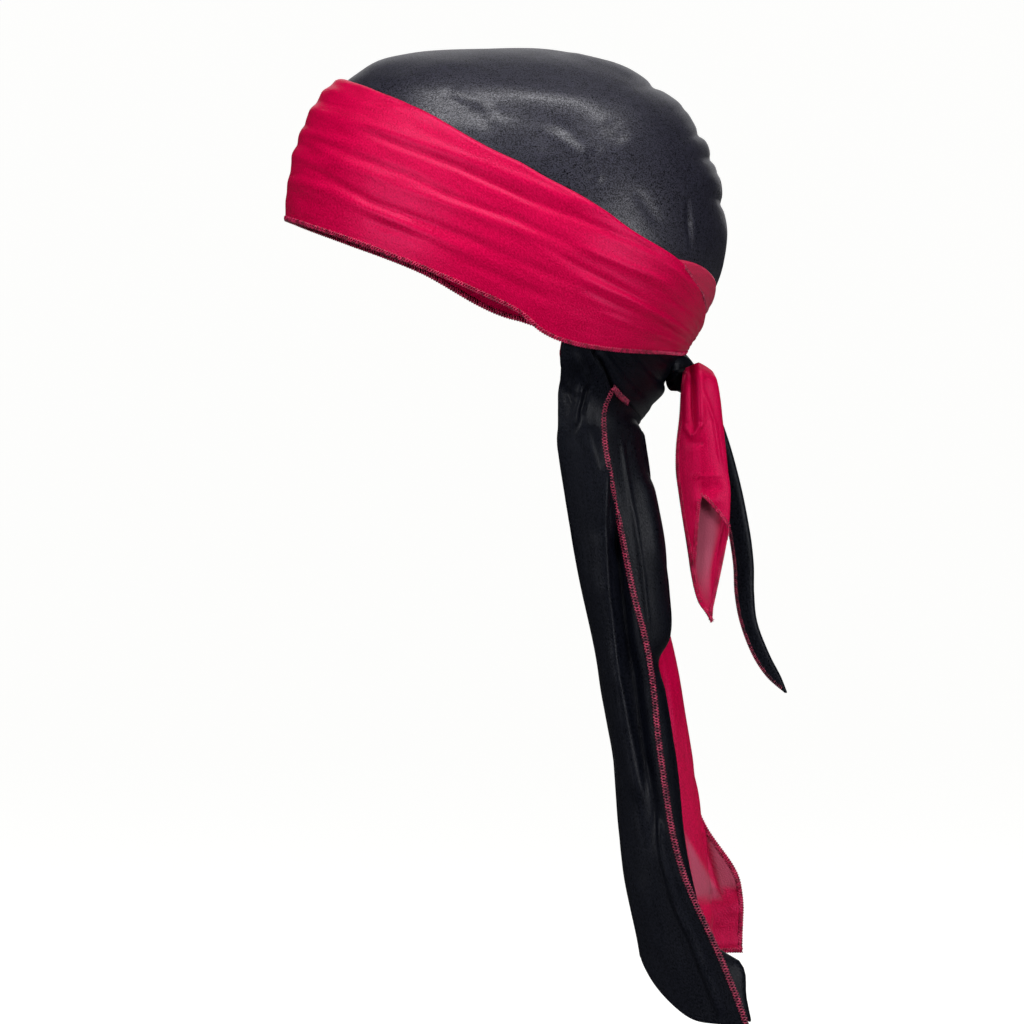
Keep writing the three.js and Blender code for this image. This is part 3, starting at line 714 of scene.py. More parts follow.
def nape_wrap():
    along = shares(150)[:, None]
    share = shares(50)[None, :]
    turn = 116 + (360 - 2 * 116) * along
    beside = np.where(turn <= 180, turn, 360 - turn)
    top = column(WRAP, "top", beside) - 0.05
    bottom = column(WRAP, "bottom", beside)
    fall = top + (bottom - top) * share
    base = head_point(turn, fall, 0)
    folds = creases(base, WRAP_CREASES) * ease(share, 0.05, 0.3)
    under = ease(share, 0.25, 0.05) * 0.9 * MM
    full = 2.6 * MM * bump(fall, 1.635, 0.045) * ease(beside, 145, 172)
    full = full - 0.9 * MM * ease(share, 0.93, 1.0)
    points = head_point(turn, fall, 2.75 * MM + folds - under + full + ripple(base, 20 * MM, 5, 0.2 * MM))
    return cloth("nape_strap", points, 0.8 * MM, BLACK_SATIN_PAINTED_SHADE)


nape_strap = nape_wrap()

# %% [markdown]
# ## The tail
#
# The panels run on below the crown as one long tail: black on the left, crimson on the right,
# with a seam between them. Each half folds forward round a front fold and back again to its
# overlocked side edge. Its section is a smooth line through seven places that are listed at
# several heights, which is how a draped cloth is drawn on paper.

# %% Tail tables
TAIL_LENGTH = 317 * MM
TAIL_SPREAD = 52 * MM
NAPE_TOP = 1.43 * CROWN_DROP
NAPE_BACK = float(head_point(180, 1.61, 0)[1])
TAIL_LINES = table(
    "line turn layer hem",
    (0, 131, 2.7, 1), (1, 117, 2.7, 1), (2, 106, 1.5, 1), (3, 122, 0.5, 0),
    (4, 142, 0.5, 0), (5, 161, 0.5, 0), (6, 180, 0.5, 0),
)
LEFT_TAIL = (
    # drop, then side and back of edge, ridge, front, under, middle and back; SEAM has the seam
    (0.115, .98, -.072, 1.09, -.115, 1.12, -.140, .97, -.115, .76, -.055, .42, -.0165),
    (0.15, 1.02, -.069, 1.09, -.11, 1.08, -.140, .95, -.11, .76, -.06, .5, -.0165),
    (0.284, 1.0, -.044, 1.02, -.09, .96, -.118, .8, -.1, .7, -.04, .48, .011),
    (0.36, 1.0, -.028, .99, -.076, .9, -.105, .73, -.085, .65, -.03, .46, .0185),
    (0.425, 1.0, -.011, .96, -.061, .83, -.091, .66, -.07, .6, -.02, .42, .0215),
    (0.461, 1.0, -.004, .95, -.058, .82, -.084, .65, -.066, .6, -.03, .45, .001),
    (0.505, .99, .002, .94, -.05, .80, -.077, .63, -.06, .57, -.015, .42, .0125),
    (0.6, .98, .012, .92, -.036, .78, -.06, .6, -.045, .55, -.005, .4, .029),
    (0.755, .96, .04, .88, -.01, .73, -.046, .57, -.03, .52, .01, .38, .048),
    (0.882, .96, .094, .86, .029, .72, -.0205, .56, -.007, .5, .033, .38, .086),
    (0.909, .96, .1055, .86, .038, .72, -.0145, .56, -.001, .5, .046, .38, .126),
    (0.96, .96, .126, .86, .059, .73, .004, .57, .016, .5, .062, .38, .134),
    (1.0, .96, .14, .86, .075, .74, .02, .58, .03, .5, .075, .38, .1425),
)
SEAM_OVERLAP = 0.003
LEFT_HEMS = (1.0, 0.985, 0.912, 0.885, 0.94, 0.995, 0.945)
SEAM = table("drop back", (0.115, -0.036), (0.15, -0.035), (0.28, -0.022), (0.36, -0.012), (0.44, -0.004),
             (0.6, 0.008), (0.755, 0.02), (0.915, 0.045), (1.0, 0.06))
RIGHT_TAIL = (
    (0.115, .98, -.07, 1.09, -.115, 1.12, -.143, .97, -.115, .76, -.055, .42, -.02),
    (0.15, 1.02, -.065, 1.09, -.11, 1.08, -.14, .95, -.11, .76, -.06, .5, -.02),
    (0.275, 1.0, -.04, 1.02, -.085, .96, -.12, .8, -.1, .7, -.04, .46, -.008),
    (0.36, 1.0, -.02, .99, -.07, .9, -.105, .73, -.085, .65, -.03, .44, .001),
    (0.435, 1.0, 0, .96, -.055, .83, -.09, .66, -.07, .58, -.01, .4, .0262),
    (0.6, .98, .035, .92, -.03, .78, -.062, .6, -.04, .54, .01, .38, .054),
    (0.71, .97, .08, .9, 0, .75, -.045, .58, -.02, .52, .03, .37, .072),
    (0.79, .96, .13, .88, .035, .73, -.03, .57, 0, .5, .045, .36, .082),
    (0.9, .96, .134, .86, .06, .73, -.01, .56, .02, .5, .06, .36, .09),
)
RIGHT_HEMS = (0.9, 0.9, 0.9, 0.91, 0.925, 0.94, 0.945)


# %% Smooth line through section points
def line_through(points, at):
    """Places on a smooth line through points (…, n, 2) at shares 0 to 1, without overshoot."""
    count = points.shape[-2]
    first = 2 * points[..., :1, :] - points[..., 1:2, :]
    last = 2 * points[..., -1:, :] - points[..., -2:-1, :]
    padded = np.concatenate([first, points, last], axis=-2)
    place = np.clip(at, 0, 1) * (count - 1)
    i = np.minimum(place.astype(int), count - 2)
    t = (place - i)[..., None]
    p = [np.take_along_axis(padded, (i + k)[..., None, None] + np.zeros((1, 2), int), axis=-2)[..., 0, :]
         for k in range(4)]
    gap = [np.maximum(np.linalg.norm(p[k + 1] - p[k], axis=-1, keepdims=True) ** 0.5, 1e-4)
           for k in range(3)]
    slope1 = (p[1] - p[0]) / gap[0] - (p[2] - p[0]) / (gap[0] + gap[1]) + (p[2] - p[1]) / gap[1]
    slope2 = (p[2] - p[1]) / gap[1] - (p[3] - p[1]) / (gap[1] + gap[2]) + (p[3] - p[2]) / gap[2]
    return between(p[1], p[2], slope1 * gap[1], slope2 * gap[1], t)


def tail_grid(side, rows, hems, across, down):
    rows = np.array(rows, float)
    drops = rows[:, 0]
    seam = np.stack([0 * drops - SEAM_OVERLAP, column(SEAM, "back", drops)], -1)
    section = np.concatenate([rows[:, 1:].reshape(len(rows), 6, 2), seam[:, None]], axis=1)
    turns = TAIL_LINES["turn"]
    free = (column(WRAP, "bottom", turns) * CROWN_DROP - NAPE_TOP) / TAIL_LENGTH + 0.01
    rim = (column(RIM, "rim", turns) * CROWN_DROP + 0.8 * MM - NAPE_TOP) / TAIL_LENGTH
    top = np.where(TAIL_LINES["hem"] > 0, free, rim)
    at = across * 6 + 0 * down
    down = down + 0 * across

    def read(values):
        return smooth_through(TAIL_LINES["line"], values, at)

    close = down * (0.3 + 0.7 * down)
    top_drop = read(top) - (0.055 * bump(at, 2.0, 0.55) + 0.03 * bump(at, 1.5, 0.3))
    hem_drop = read(np.array(hems)) + 0.022 * bump(at, 1.45, 0.45) + 0.008 * bump(at, 1.85, 0.25)
    drop = top_drop + (hem_drop - top_drop) * close
    shift = bump(at, 2.0, 0.9) * (6 * ease(drop, 0, 0.1) - 2.5)
    held = head_point(read(turns) + shift, (drop * TAIL_LENGTH + NAPE_TOP) / CROWN_DROP,
                      read(TAIL_LINES["layer"]) * CLOTH_WALL)
    places = line_through(smooth_through(drops, section, drop), at / 6)
    loose = np.stack([TAIL_SPREAD * places[..., 0], NAPE_BACK + TAIL_LENGTH * places[..., 1], 0 * drop], -1)
    let_go = ease(drop, read(free) - 0.004, read(free) + 0.05 - 0.028 * ease(at, 3, 4.5))[..., None]
    points = held + (loose - held) * let_go
    if side < 0:
        points[..., 1] += bump(at, 1.9, 0.9) * (2 + 2.5 * ease(drop, 0.1, 0.25)) * MM * ease(drop, 0, 0.03)
    points[..., 2] = -NAPE_TOP - TAIL_LENGTH * drop
    points[..., 0] = side * np.maximum(points[..., 0], -0.15 * MM)
    return points, drop, at


# %% Tail halves
TAIL_CREASES = [
    # back, up, back, up, wide, high, wide on the left
    (50.0, -196, 48.9, -225, 0.9, 1.9, 6),
    (49.0, -222, 51.2, -259, 0.9, 2.0, 6),
    (50.8, -252, 56.2, -297, 0.9, 2.0, 6),
    (55.5, -290, 61.4, -322, 0.9, 1.8, 5),
    (61.0, -318, 66.3, -350, 1.0, 1.4, 5),
    (54.4, -204, 54.6, -240, 2.0, -3.4),
    (54.6, -226, 60.0, -290, 3.0, -5.5),
    (59.8, -278, 67.5, -340, 3.6, -5.5),
    (67, -330, 73, -366, 3.4, -3.2),
    (73.4, -358, 75.7, -381, 1.3, 1.3, 0.9),
    (75.5, -378, 82, -402, 2.5, 1.5, 0.9),
    (81.5, -400, 88.4, -415, 2.5, 1.5, 0.9),
    (88, -413, 94.8, -432, 2.5, 1.5, 0.9),
    (94.4, -430, 102.5, -451, 2.5, 1.4, 0.9),
    (78, -385, 86, -392, 1.2, 0.6),
    (66, -352, 72, -375, 3.0, -0.8),
    (66, -385, 74, -425, 4.0, 0.7),
    (34, -142, 41.5, -158, 1.8, 1.3),
    (38.5, -142, 44, -158, 1.6, -1.2),
    (42, -156, 37, -172, 1.4, -1.4),
    (38.5, -155, 34, -178, 1.8, 1.3),
    (29, -150, 33, -165, 1.2, 0.9),
    (31, -160, 36, -166, 1.1, -0.8),
    (40, -174, 46, -198, 3.0, 1.0),
]
CRIMSON_TAIL_CREASES = [
    (94, -362, 103.9, -396, 1.6, -1.4), (97.5, -368, 104.6, -397, 0.9, 0.9),
    (89, -372, 101, -397, 1.0, 0.9),
    (90, -402, 115, -395, 1.5, -1.2), (93, -409, 116, -403, 2.0, 1.2),
    (97, -416.5, 114, -415, 1.2, -1.1), (99, -421, 114, -420, 1.6, 1.0),
    (80, -290, 92, -345, 2.5, 0.8), (86, -330, 97, -362, 2.0, -0.7), (76, -280, 84, -330, 1.2, 0.6),
]
TAIL_INNER_CREASES = [
    (56.3, -181, 61.8, -216, 0.9, 0.5),
    (61.3, -211, 66.8, -245, 0.9, 0.5),
    (66.0, -240, 69.8, -273, 0.9, 0.5),
    (59, -163, 66.5, -177, 3.2, 1.6),
    (66, -180, 70, -205, 2.5, -1.0),
    (67, -196, 75, -245, 4.0, 1.2),
]


def tail_half(side):
    rows, hems = (LEFT_TAIL, LEFT_HEMS) if side > 0 else (RIGHT_TAIL, RIGHT_HEMS)
    across, down = shares(150)[None, :], shares(150)[:, None]
    points, drop, at = tail_grid(side, rows, hems, across, down)
    normals = grid_normals(points)
    outer = ease(at, 2.3, 1.6)
    outward = normals * np.sign((normals[..., :1] * side) + 1e-9)
    lift = creases(points, TAIL_CREASES) * outer * ease(drop, 0.0, 0.03)
    lift += creases(points, TAIL_INNER_CREASES) * (1 - outer) * ease(drop, 0.06, 0.12)
    lift += ripple(points * (1, 1, 0.45), 22 * MM, 21 + side, 0.35 * MM) * ease(drop, 0.02, 0.2)
    crinkled = bump(points[..., 1], 34 * MM, 8 * MM) * bump(points[..., 2], -163 * MM, 16 * MM) * outer
    lift += ripple(points, 5 * MM, 31, 0.38 * MM) * crinkled
    lift += ripple(points * (1, 1, 0.7), 9 * MM, 33 + side, 0.05 * MM) * ease(drop, 0.05, 0.2)
    if side < 0:
        lift = lift * (1 - ease(drop, 0.5, 0.6))
        both_sides = np.maximum(ease(at, 2.6, 2.2), ease(at, 3.2, 4.0))
        lift = lift - creases(points, CRIMSON_TAIL_CREASES) * both_sides
    lift = lift * ease(at, 6.0, 5.7)
    points = points + outward * lift[..., None]
    if side > 0:
        return cloth("tail_black", points, 0.6 * MM, BLACK_SATIN_PAINTED_SHADE), points
    rear = ease(at, 3.2, 4.0)
    # painted light: two three-cornered patches are painted paler for the light that shines through the
    # single crimson layer there; below the middle the whole half is painted slightly paler too
    pale = 0.75 * patch(points, (87, -369), (104.5, -399), (91, -399), soft=2.5) * np.maximum(outer, rear)
    pale = np.maximum(pale, 0.7 * patch(points, (97.5, -368), (114.5, -393), (104.5, -396)) * outer)
    pale = pale + 0.06 * ease(drop, 0.5, 0.6)
    return cloth("tail_crimson", points, 0.6 * MM, CRIMSON_SATIN, pale=pale), points


tail_black, black_grid = tail_half(1)
tail_crimson, crimson_grid = tail_half(-1)

# %% [markdown]
# ## The knot and its two ends
#
# The two straps are tied round each other at the nape. The crimson end is folded once along its
# length and hangs on the left; the black end hangs behind it. Both are narrow sheets hung from
# lines, like the tail. The knot is one lump with twisted folds, because what is inside it can't
# be seen; two real straps laid round each other would look the same from outside.

# %% Knot
KNOT_WIDE, KNOT_DEEP, KNOT_TALL = 16 * MM, 14.5 * MM, 17.5 * MM
knot_height = -1.465 * CROWN_DROP - 0.3 * MM - KNOT_TALL / 2
knot_back = float(head_point(180, -knot_height / CROWN_DROP, 4.55 * MM)[1]) + 1.3 * MM + KNOT_DEEP / 2
KNOT = np.array([0, knot_back, knot_height])


def closed_form(name, points, material):
    """Closed mesh from rows of rings; the first and last row are poles."""
    rows, columns = points.shape[:2]
    index = np.arange(rows * columns).reshape(rows, columns)
    faces = quad_faces(np.hstack([index, index[:, :1]]))
    flat = np.stack(np.meshgrid(run_length(points, 1), run_length(points, 0)), -1).reshape(-1, 2)
    pale = np.zeros(index.size)
    return cloth_piece(name, points.reshape(-1, 3), faces, flat, pale, material, outward=True)


KNOT_PATH = table(
    # back and up of its middle, half height and half breadth, all in mm, from the nape to the ends
    "along back up tall broad",
    (0.0, 77.6, -149.4, 3.0, 3.0), (0.08, 78.2, -149.4, 4.4, 4.6), (0.20, 79.4, -149.5, 7.2, 7.4),
    (0.34, 81.0, -149.8, 8.8, 9.2), (0.50, 82.9, -150.5, 9.1, 9.3), (0.64, 85.0, -151.5, 9.0, 8.2),
    (0.80, 87.5, -152.6, 8.2, 7.0),
    (0.92, 89.5, -153.2, 6.8, 6.2), (0.98, 91.5, -154.0, 4.4, 4.6), (1.0, 92.2, -154.3, 0.0, 0.0),
)


def knot_lump():
    along = np.concatenate([[0.0], np.linspace(0.003, 0.985, 84), [0.993, 0.998, 1.0]])[:, None]
    turn = np.linspace(0, 2 * math.pi, 120, endpoint=False)[None, :]
    twist = turn - 1.7 * along
    folds = 0.07 * np.sin(3 * twist + 0.6) + 0.045 * np.sin(7 * twist + 1.9 + 2 * along)
    folds = (folds + 0.02 * np.sin(13 * twist + 3.0)) * np.sin(math.pi * np.clip(along, 0, 1)) ** 0.4
    back, up, tall, broad = (
        column(KNOT_PATH, name, along) * MM for name in ("back", "up", "tall", "broad"))
    tall, broad = np.where(along <= 0, 0, tall), np.where(along <= 0, 0, broad)
    x = broad * np.cos(turn) * (1 + folds)
    y = back + 0.15 * np.sin(turn) * tall
    z = up + tall * np.sin(turn) * (1 + folds)
    return closed_form("knot_black", np.stack([x, y, z], -1), BLACK_SATIN_PAINTED_SHADE)


knot_black = knot_lump()

# %% Crimson end
RED_TIE = (
    # drop, then side and back of near edge, near middle, fold, far right, far middle, far left
    (0.0, .2, -.10, .9, .16, .5, .44, -.2, .36, -.4, .1, -.3, 0),
    (0.035, 1.4, -.17, 2.8, .17, 1.5, .52, .1, .42, -.2, .12, 0, -.06),
    (0.10, 1.8, -.20, 3.2, .18, 1.6, .58, .2, .48, 0, .13, .1, -.12),
    (0.20, 1.8, -.23, 3.2, .2, 1.5, .63, .2, .56, 0, .15, .1, -.18),
    (0.33, 1.6, -.30, 2.7, .2, 1.3, .70, .2, .62, 0, .16, .1, -.28),
    (0.42, 1.5, -.30, 2.4, .2, 1.2, .75, .2, .66, 0, .16, .1, -.30),
    (0.5, 1.4, -.25, 2.1, .22, 1.1, .80, .1, .70, 0, .2, .1, -.25),
    (0.64, 1.4, -.14, 1.9, .26, 1.0, .76, 0, .68, 0, .22, .1, -.14),
    (0.74, 1.4, -.04, 1.7, .28, 1.0, .64, 0, .55, 0, .24, .1, -.06),
    (0.84, 1.4, .03, 1.5, .3, 1.0, .52, 0, .46, 0, .26, .1, .02),
    (0.94, 1.4, .12, 1.4, .34, 1.0, .48, 0, .47, 0, .34, .1, .16),
    (1.0, 1.4, .37, 1.4, .42, 1.0, .46, 0, .47, 0, .43, .1, .38),
)
RED_TIE_HEMS = (0.88, 0.52, 0.65, 0.95, 1.02, 0.96)
RED_TIE_TOPS = (-1.6, 0.8, -3.4, -3.0, -0.5, -1.5)
RED_TIE_CREASES = [
    # back, up, back, up, wide, high
    (89.0, -147, 90.5, -160, 1.3, -1.6), (90.2, -157, 90.8, -178, 1.2, -2.0),
    (87.0, -156, 87.6, -176, 1.6, 0.9), (93.6, -150, 94.2, -178, 2.0, 1.4),
    (86.4, -176, 90.6, -182, 1.0, 1.0), (90.2, -182, 94.6, -175, 1.0, 1.0),
    (87.0, -184, 95.5, -184.5, 1.8, -0.9),
    (95.4, -160, 101.0, -176, 0.7, 0.7), (100.4, -174, 103.4, -194, 0.7, 0.7),
    (88.6, -200.2, 104.4, -199.2, 0.6, 0.5),
    (90.0, -213.0, 104.6, -210.0, 3.4, 0.8), (92.0, -206.0, 104.0, -204.5, 2.2, -0.6),
]
TIE_FOLD = 3 * MM


def hung(start, rows, hems, tops, length, width, across, down):
    """Sheet that hangs from lines listed at several drops, each from its own top to its own hem."""
    rows, hems, tops = np.array(rows, float), np.array(hems, float), np.array(tops, float) * MM
    count = len(hems)
    drops, section = rows[:, 0], rows[:, 1:].reshape(len(rows), count, 2)
    at = across + 0 * down
    ends = hems * (down + 0 * across)[..., None]
    lines = np.empty((*at.shape, count, 3))
    for k in range(count):
        place = smooth_through(drops, section[:, k], ends[..., k])
        lines[..., k, 0] = start[0] + TIE_FOLD * place[..., 0]
        lines[..., k, 1] = start[1] + width * place[..., 1]
        lines[..., k, 2] = start[2] - length * ends[..., k] + tops[k] * (1 - ease(ends[..., k], 0, 0.3))
    flat = line_through(lines[..., :2], at)
    fall = smooth_line(lines[..., 2], at)
    return np.concatenate([flat, fall[..., None]], -1)


def smooth_line(values, at):
    """Values listed across a sheet, read at shares 0 to 1 with a soft step between neighbours."""
    count = values.shape[-1]
    place = np.clip(at, 0, 1) * (count - 1)
    i = np.minimum(place.astype(int), count - 2)[..., None]
    t = place - i[..., 0]
    a, b = (np.take_along_axis(values, i + k, -1)[..., 0] for k in (0, 1))
    soft = t * t * (3 - 2 * t) * 0.5 + t * 0.5
    return a + (b - a) * soft


def crimson_end():
    start = KNOT + np.array([KNOT_WIDE / 2 + 0.9 * MM, KNOT_DEEP * 0.07, KNOT_TALL * 0.3])
    across, down = shares(100)[None, :], shares(150)[:, None]
    points = hung(start, RED_TIE, RED_TIE_HEMS, RED_TIE_TOPS, 119 * MM, 23 * MM, across, down)
    near = ease(across, 0.56, 0.44)
    lift = creases(points, RED_TIE_CREASES) * near + ripple(points, 9 * MM, 41, 0.10 * MM)
    points[..., 0] += lift
    # painted light: where the end is a single layer it is painted paler for the light that shines through
    # it
    single = ease(across, 0.62, 0.72) * ease(down, 0.46, 0.54)
    inner = single * ease(across, 0.98, 0.86) * ease(down, 0.99, 0.76)
    return cloth("crimson_end", points, 0.6 * MM, CRIMSON_SATIN, pale=0.95 * inner), points


crimson_tie, crimson_tie_grid = crimson_end()

# %% Black end
BLACK_TIE = table(
    "drop back wide",
    (0.0, 0.0, 0.5), (0.09, 0.13, 0.7), (0.18, 0.25, 0.85), (0.34, 0.39, 1.0), (0.5, 0.5, 1.0),
    (0.6, 0.545, 0.95), (0.69, 0.555, 0.9), (0.78, 0.6, 0.8), (0.88, 0.73, 0.8), (0.95, 0.87, 0.65),
    (1.0, 1.0, 0.1),
)
BLACK_TIE_LINES = np.array([(0, -0.5), (0, 0.38), (-0.4, 0.5), (-0.8, 0.36), (-0.7, -0.25)])


def black_end():
    start = KNOT + np.array([-KNOT_WIDE / 2 - 0.9 * MM, KNOT_DEEP * 0.14, KNOT_TALL * 0.1])
    across, down = shares(60)[None, :], shares(150)[:, None]
    at = across + 0 * down
    drop = down + 0 * across
    back = 44 * MM * column(BLACK_TIE, "back", drop)
    wide = 10 * MM * column(BLACK_TIE, "wide", drop)
    lines = np.empty((*at.shape, 5, 2))
    lines[..., 0] = start[0] + TIE_FOLD * BLACK_TIE_LINES[:, 0]
    lines[..., 1] = start[1] + back[..., None] + wide[..., None] * BLACK_TIE_LINES[:, 1]
    flat = line_through(lines, at)
    points = np.concatenate([flat, (start[2] - 151 * MM * drop)[..., None]], -1)
    return cloth("black_end", points, 0.6 * MM, BLACK_SATIN_PAINTED_SHADE), points


black_tie, black_tie_grid = black_end()

# %% [markdown]
# ## Overlocked edges
#
# A raw edge is closed by an overlock machine: threads weave back and forth on both faces and
# cross over the edge. One short length is drawn, and a Geometry Nodes tree sets it along the
# edge at an even pitch, turned to the edge and to the face of the cloth. Copying it by hand would
# also work, but the tree keeps the pitch and the thread's size as numbers that can be changed.

# %% One overlock stitch
def overlock_stitch(name, length, width, radius, rise):
    """Two threads that cross back and forth between the edge and the cloth, on both faces."""
    sides, steps = 3, 7
    x = np.linspace(-0.5, 0.5, steps)
    points, faces = [], []
    for face in (1, -1):
        for phase in (1, -1):
            path = np.stack([
                x * length * 1.02,
                width / 2 * (0.93 + phase * np.cos(2 * math.pi * x)),
                face * (rise + 0.4 * radius * phase * np.sin(2 * math.pi * x)),
            ], -1)
            tangent = np.gradient(path, axis=0)
            tangent /= np.linalg.norm(tangent, axis=1, keepdims=True)
            beside = np.cross(tangent, (0, 0, 1.0))
            beside /= np.linalg.norm(beside, axis=1, keepdims=True)
            above = np.cross(beside, tangent)
            turn = np.arange(sides) * 2 * math.pi / sides
            ring = beside[:, None] * np.cos(turn)[None, :, None]
            ring = ring + above[:, None] * np.sin(turn)[None, :, None]
            base = len(points)
            points += (path[:, None] + radius * ring).reshape(-1, 3).tolist()
            for i in range(steps - 1):
                for j in range(sides):
                    k = (j + 1) % sides
                    faces.append([base + i * sides + j, base + i * sides + k,
                                  base + (i + 1) * sides + k, base + (i + 1) * sides + j])
            faces.append([base + j for j in range(sides)])
            faces.append([base + (steps - 1) * sides + j for j in reversed(range(sides))])
    stitch = new_piece(name, points, [], faces)
    clean(stitch.data, outward=True)
    return stitch


WIDE_PITCH, CORD_PITCH = 2.7 * MM, 2.6 * MM
WIDE_STITCH = overlock_stitch("wide overlock stitch", WIDE_PITCH, 2.6 * MM, 0.30 * MM, 0.42 * MM)
CORD_STITCH = overlock_stitch("narrow overlock stitch", CORD_PITCH, 2.0 * MM, 0.36 * MM, 0.60 * MM)
print("stitch faces:", len(WIDE_STITCH.data.polygons))


# %% Stitch tree
def stitch_tree():
    tree = bpy.data.node_groups.new("overlock along an edge", "GeometryNodeTree")
    face = tree.interface
    face.new_socket("Geometry", in_out="INPUT", socket_type="NodeSocketGeometry")
    for label, kind, value in (("Pitch", "NodeSocketFloat", WIDE_PITCH), ("Size", "NodeSocketFloat", 1.0),
                               ("Unevenness", "NodeSocketFloat", 0.06), ("Seed", "NodeSocketInt", 4)):
        face.new_socket(label, in_out="INPUT", socket_type=kind).default_value = value
    face.new_socket("Stitch", in_out="INPUT", socket_type="NodeSocketObject")
    face.new_socket("Thread", in_out="INPUT", socket_type="NodeSocketMaterial")
    face.new_socket("Geometry", in_out="OUTPUT", socket_type="NodeSocketGeometry")

    def add(kind, **settings):
        node = tree.nodes.new(kind)
        for key, value in settings.items():
            setattr(node, key, value)
        return node

    link = tree.links.new
    given, result = add("NodeGroupInput"), add("NodeGroupOutput")
    curve = add("GeometryNodeMeshToCurve")
    link(given.outputs["Geometry"], curve.inputs["Mesh"])
    even = add("GeometryNodeResampleCurve", mode="LENGTH")
    link(curve.outputs[0], even.inputs["Curve"])
    link(given.outputs["Pitch"], even.inputs["Length"])
    facing = add("GeometryNodeInputNamedAttribute", data_type="FLOAT_VECTOR")
    facing.inputs["Name"].default_value = "facing"
    along = add("FunctionNodeAlignRotationToVector", axis="X")
    link(add("GeometryNodeInputTangent").outputs[0], along.inputs["Vector"])
    upright = add("FunctionNodeAlignRotationToVector", axis="Z", pivot_axis="X")
    link(along.outputs[0], upright.inputs["Rotation"])
    link(facing.outputs["Attribute"], upright.inputs["Vector"])
    chance = add("FunctionNodeRandomValue", data_type="FLOAT")
    link(given.outputs["Seed"], chance.inputs["Seed"])
    for operation, end in (("SUBTRACT", 2), ("ADD", 3)):
        node = add("ShaderNodeMath", operation=operation)
        link(given.outputs["Size"], node.inputs[0])
        link(given.outputs["Unevenness"], node.inputs[1])
        link(node.outputs[0], chance.inputs[end])
    source = add("GeometryNodeObjectInfo")
    link(given.outputs["Stitch"], source.inputs["Object"])
    place = add("GeometryNodeInstanceOnPoints")
    link(even.outputs[0], place.inputs["Points"])
    link(source.outputs["Geometry"], place.inputs["Instance"])
    link(upright.outputs[0], place.inputs["Rotation"])
    link(chance.outputs[1], place.inputs["Scale"])
    whole = add("GeometryNodeRealizeInstances")
    link(place.outputs[0], whole.inputs[0])
    dress = add("GeometryNodeSetMaterial")
    link(whole.outputs[0], dress.inputs["Geometry"])
    link(given.outputs["Thread"], dress.inputs["Material"])
    link(dress.outputs[0], result.inputs[0])
    return tree


STITCHES = stitch_tree()


# %% Stitch along an edge
def overlock(name, lines, thread, stitch, size=1.0, seed=4, trim=3):
    """Overlock along lines of (points, cloth facing, way into the cloth), as one plain mesh."""
    points, edges, facing = [], [], []
    for path, face, inward in lines:
        path, face, inward = path[trim:-trim], face[trim:-trim], inward[trim:-trim]
        tangent = np.gradient(path, axis=0)
        if (np.cross(face, tangent) * inward).sum() < 0:
            path, face = path[::-1], face[::-1]
        start = len(points)
        points += path.tolist()
        facing += face.tolist()
        edges += [(start + i, start + i + 1) for i in range(len(path) - 1)]
    piece = new_piece(name, points, edges, [])
    layer = piece.data.attributes.new("facing", "FLOAT_VECTOR", "POINT")
    layer.data.foreach_set("vector", np.ravel(facing))
    modifier = piece.modifiers.new("overlock", "NODES")
    modifier.node_group = STITCHES
    pitch = (CORD_PITCH if stitch is CORD_STITCH else WIDE_PITCH) * size
    values = {"Pitch": pitch, "Size": size, "Unevenness": 0.03, "Seed": seed,
              "Stitch": stitch, "Thread": thread}
    for item in STITCHES.interface.items_tree:
        if item.in_out == "INPUT" and item.name in values:
            modifier[item.identifier] = values[item.name]
    graph = bpy.context.evaluated_depsgraph_get()
    result = bpy.data.meshes.new_from_object(piece.evaluated_get(graph))
    piece.modifiers.remove(modifier)
    piece.data = result
    result.name = name
    print(f"{name}: {len(result.polygons)} faces")
    return piece


def border(grid, where):
    """Points along one border of a grid, the cloth's facing there, and the way into the cloth."""
    normals = grid_normals(grid)
    cut = {"top": (np.s_[0], np.s_[3]), "bottom": (np.s_[-1], np.s_[-4]),
           "first": (np.s_[:, 0], np.s_[:, 3]), "last": (np.s_[:, -1], np.s_[:, -4])}[where]
    return grid[cut[0]], normals[cut[1]], grid[cut[1]] - grid[cut[0]]


turned_back = band_grid[(band_turns > 138) & (band_turns < 168)]
band_stitches = overlock("band_overlock", [border(band_grid, "last")], RED_THREAD, CORD_STITCH)
turned_back_stitches = overlock(
    "turned_back_overlock", [border(turned_back, "first")], PINK_THREAD, WIDE_STITCH, size=0.8)
# the stitched corner of the black half shows again below the wrap
CORNER_POINTS = 30
CORNER_LIFT = 4.2 * MM
CORNER_FACING, CORNER_INWARD = (0.9, 0.44, 0.0), (0.0, -0.6, -1.0)
corner_turn = np.linspace(129.4, 142.5, CORNER_POINTS)
corner = head_point(corner_turn, column(WRAP, "bottom", corner_turn) + 0.004, CORNER_LIFT)
corner_line = (corner, *(np.tile(way, (CORNER_POINTS, 1)) for way in (CORNER_FACING, CORNER_INWARD)))
tail_black_stitches = overlock(
    "tail_black_overlock", [border(black_grid, "first"), corner_line], PINK_THREAD, WIDE_STITCH)
tail_crimson_stitches = overlock(
    "tail_crimson_overlock", [border(crimson_grid, "first"), border(crimson_grid, "bottom")], RED_THREAD,
    WIDE_STITCH, size=0.9)
crimson_tie_stitches = overlock(
    "crimson_end_overlock",
    [border(crimson_tie_grid, edge) for edge in ("first", "last", "bottom")],
    RED_THREAD, WIDE_STITCH, size=0.7, trim=7)
black_tie_stitches = overlock(
    "black_end_overlock", [border(black_tie_grid, "first"), border(black_tie_grid, "last")], PINK_THREAD,
    WIDE_STITCH, size=0.62, trim=5)
for stitch in (WIDE_STITCH, CORD_STITCH):
    bpy.data.objects.remove(stitch)
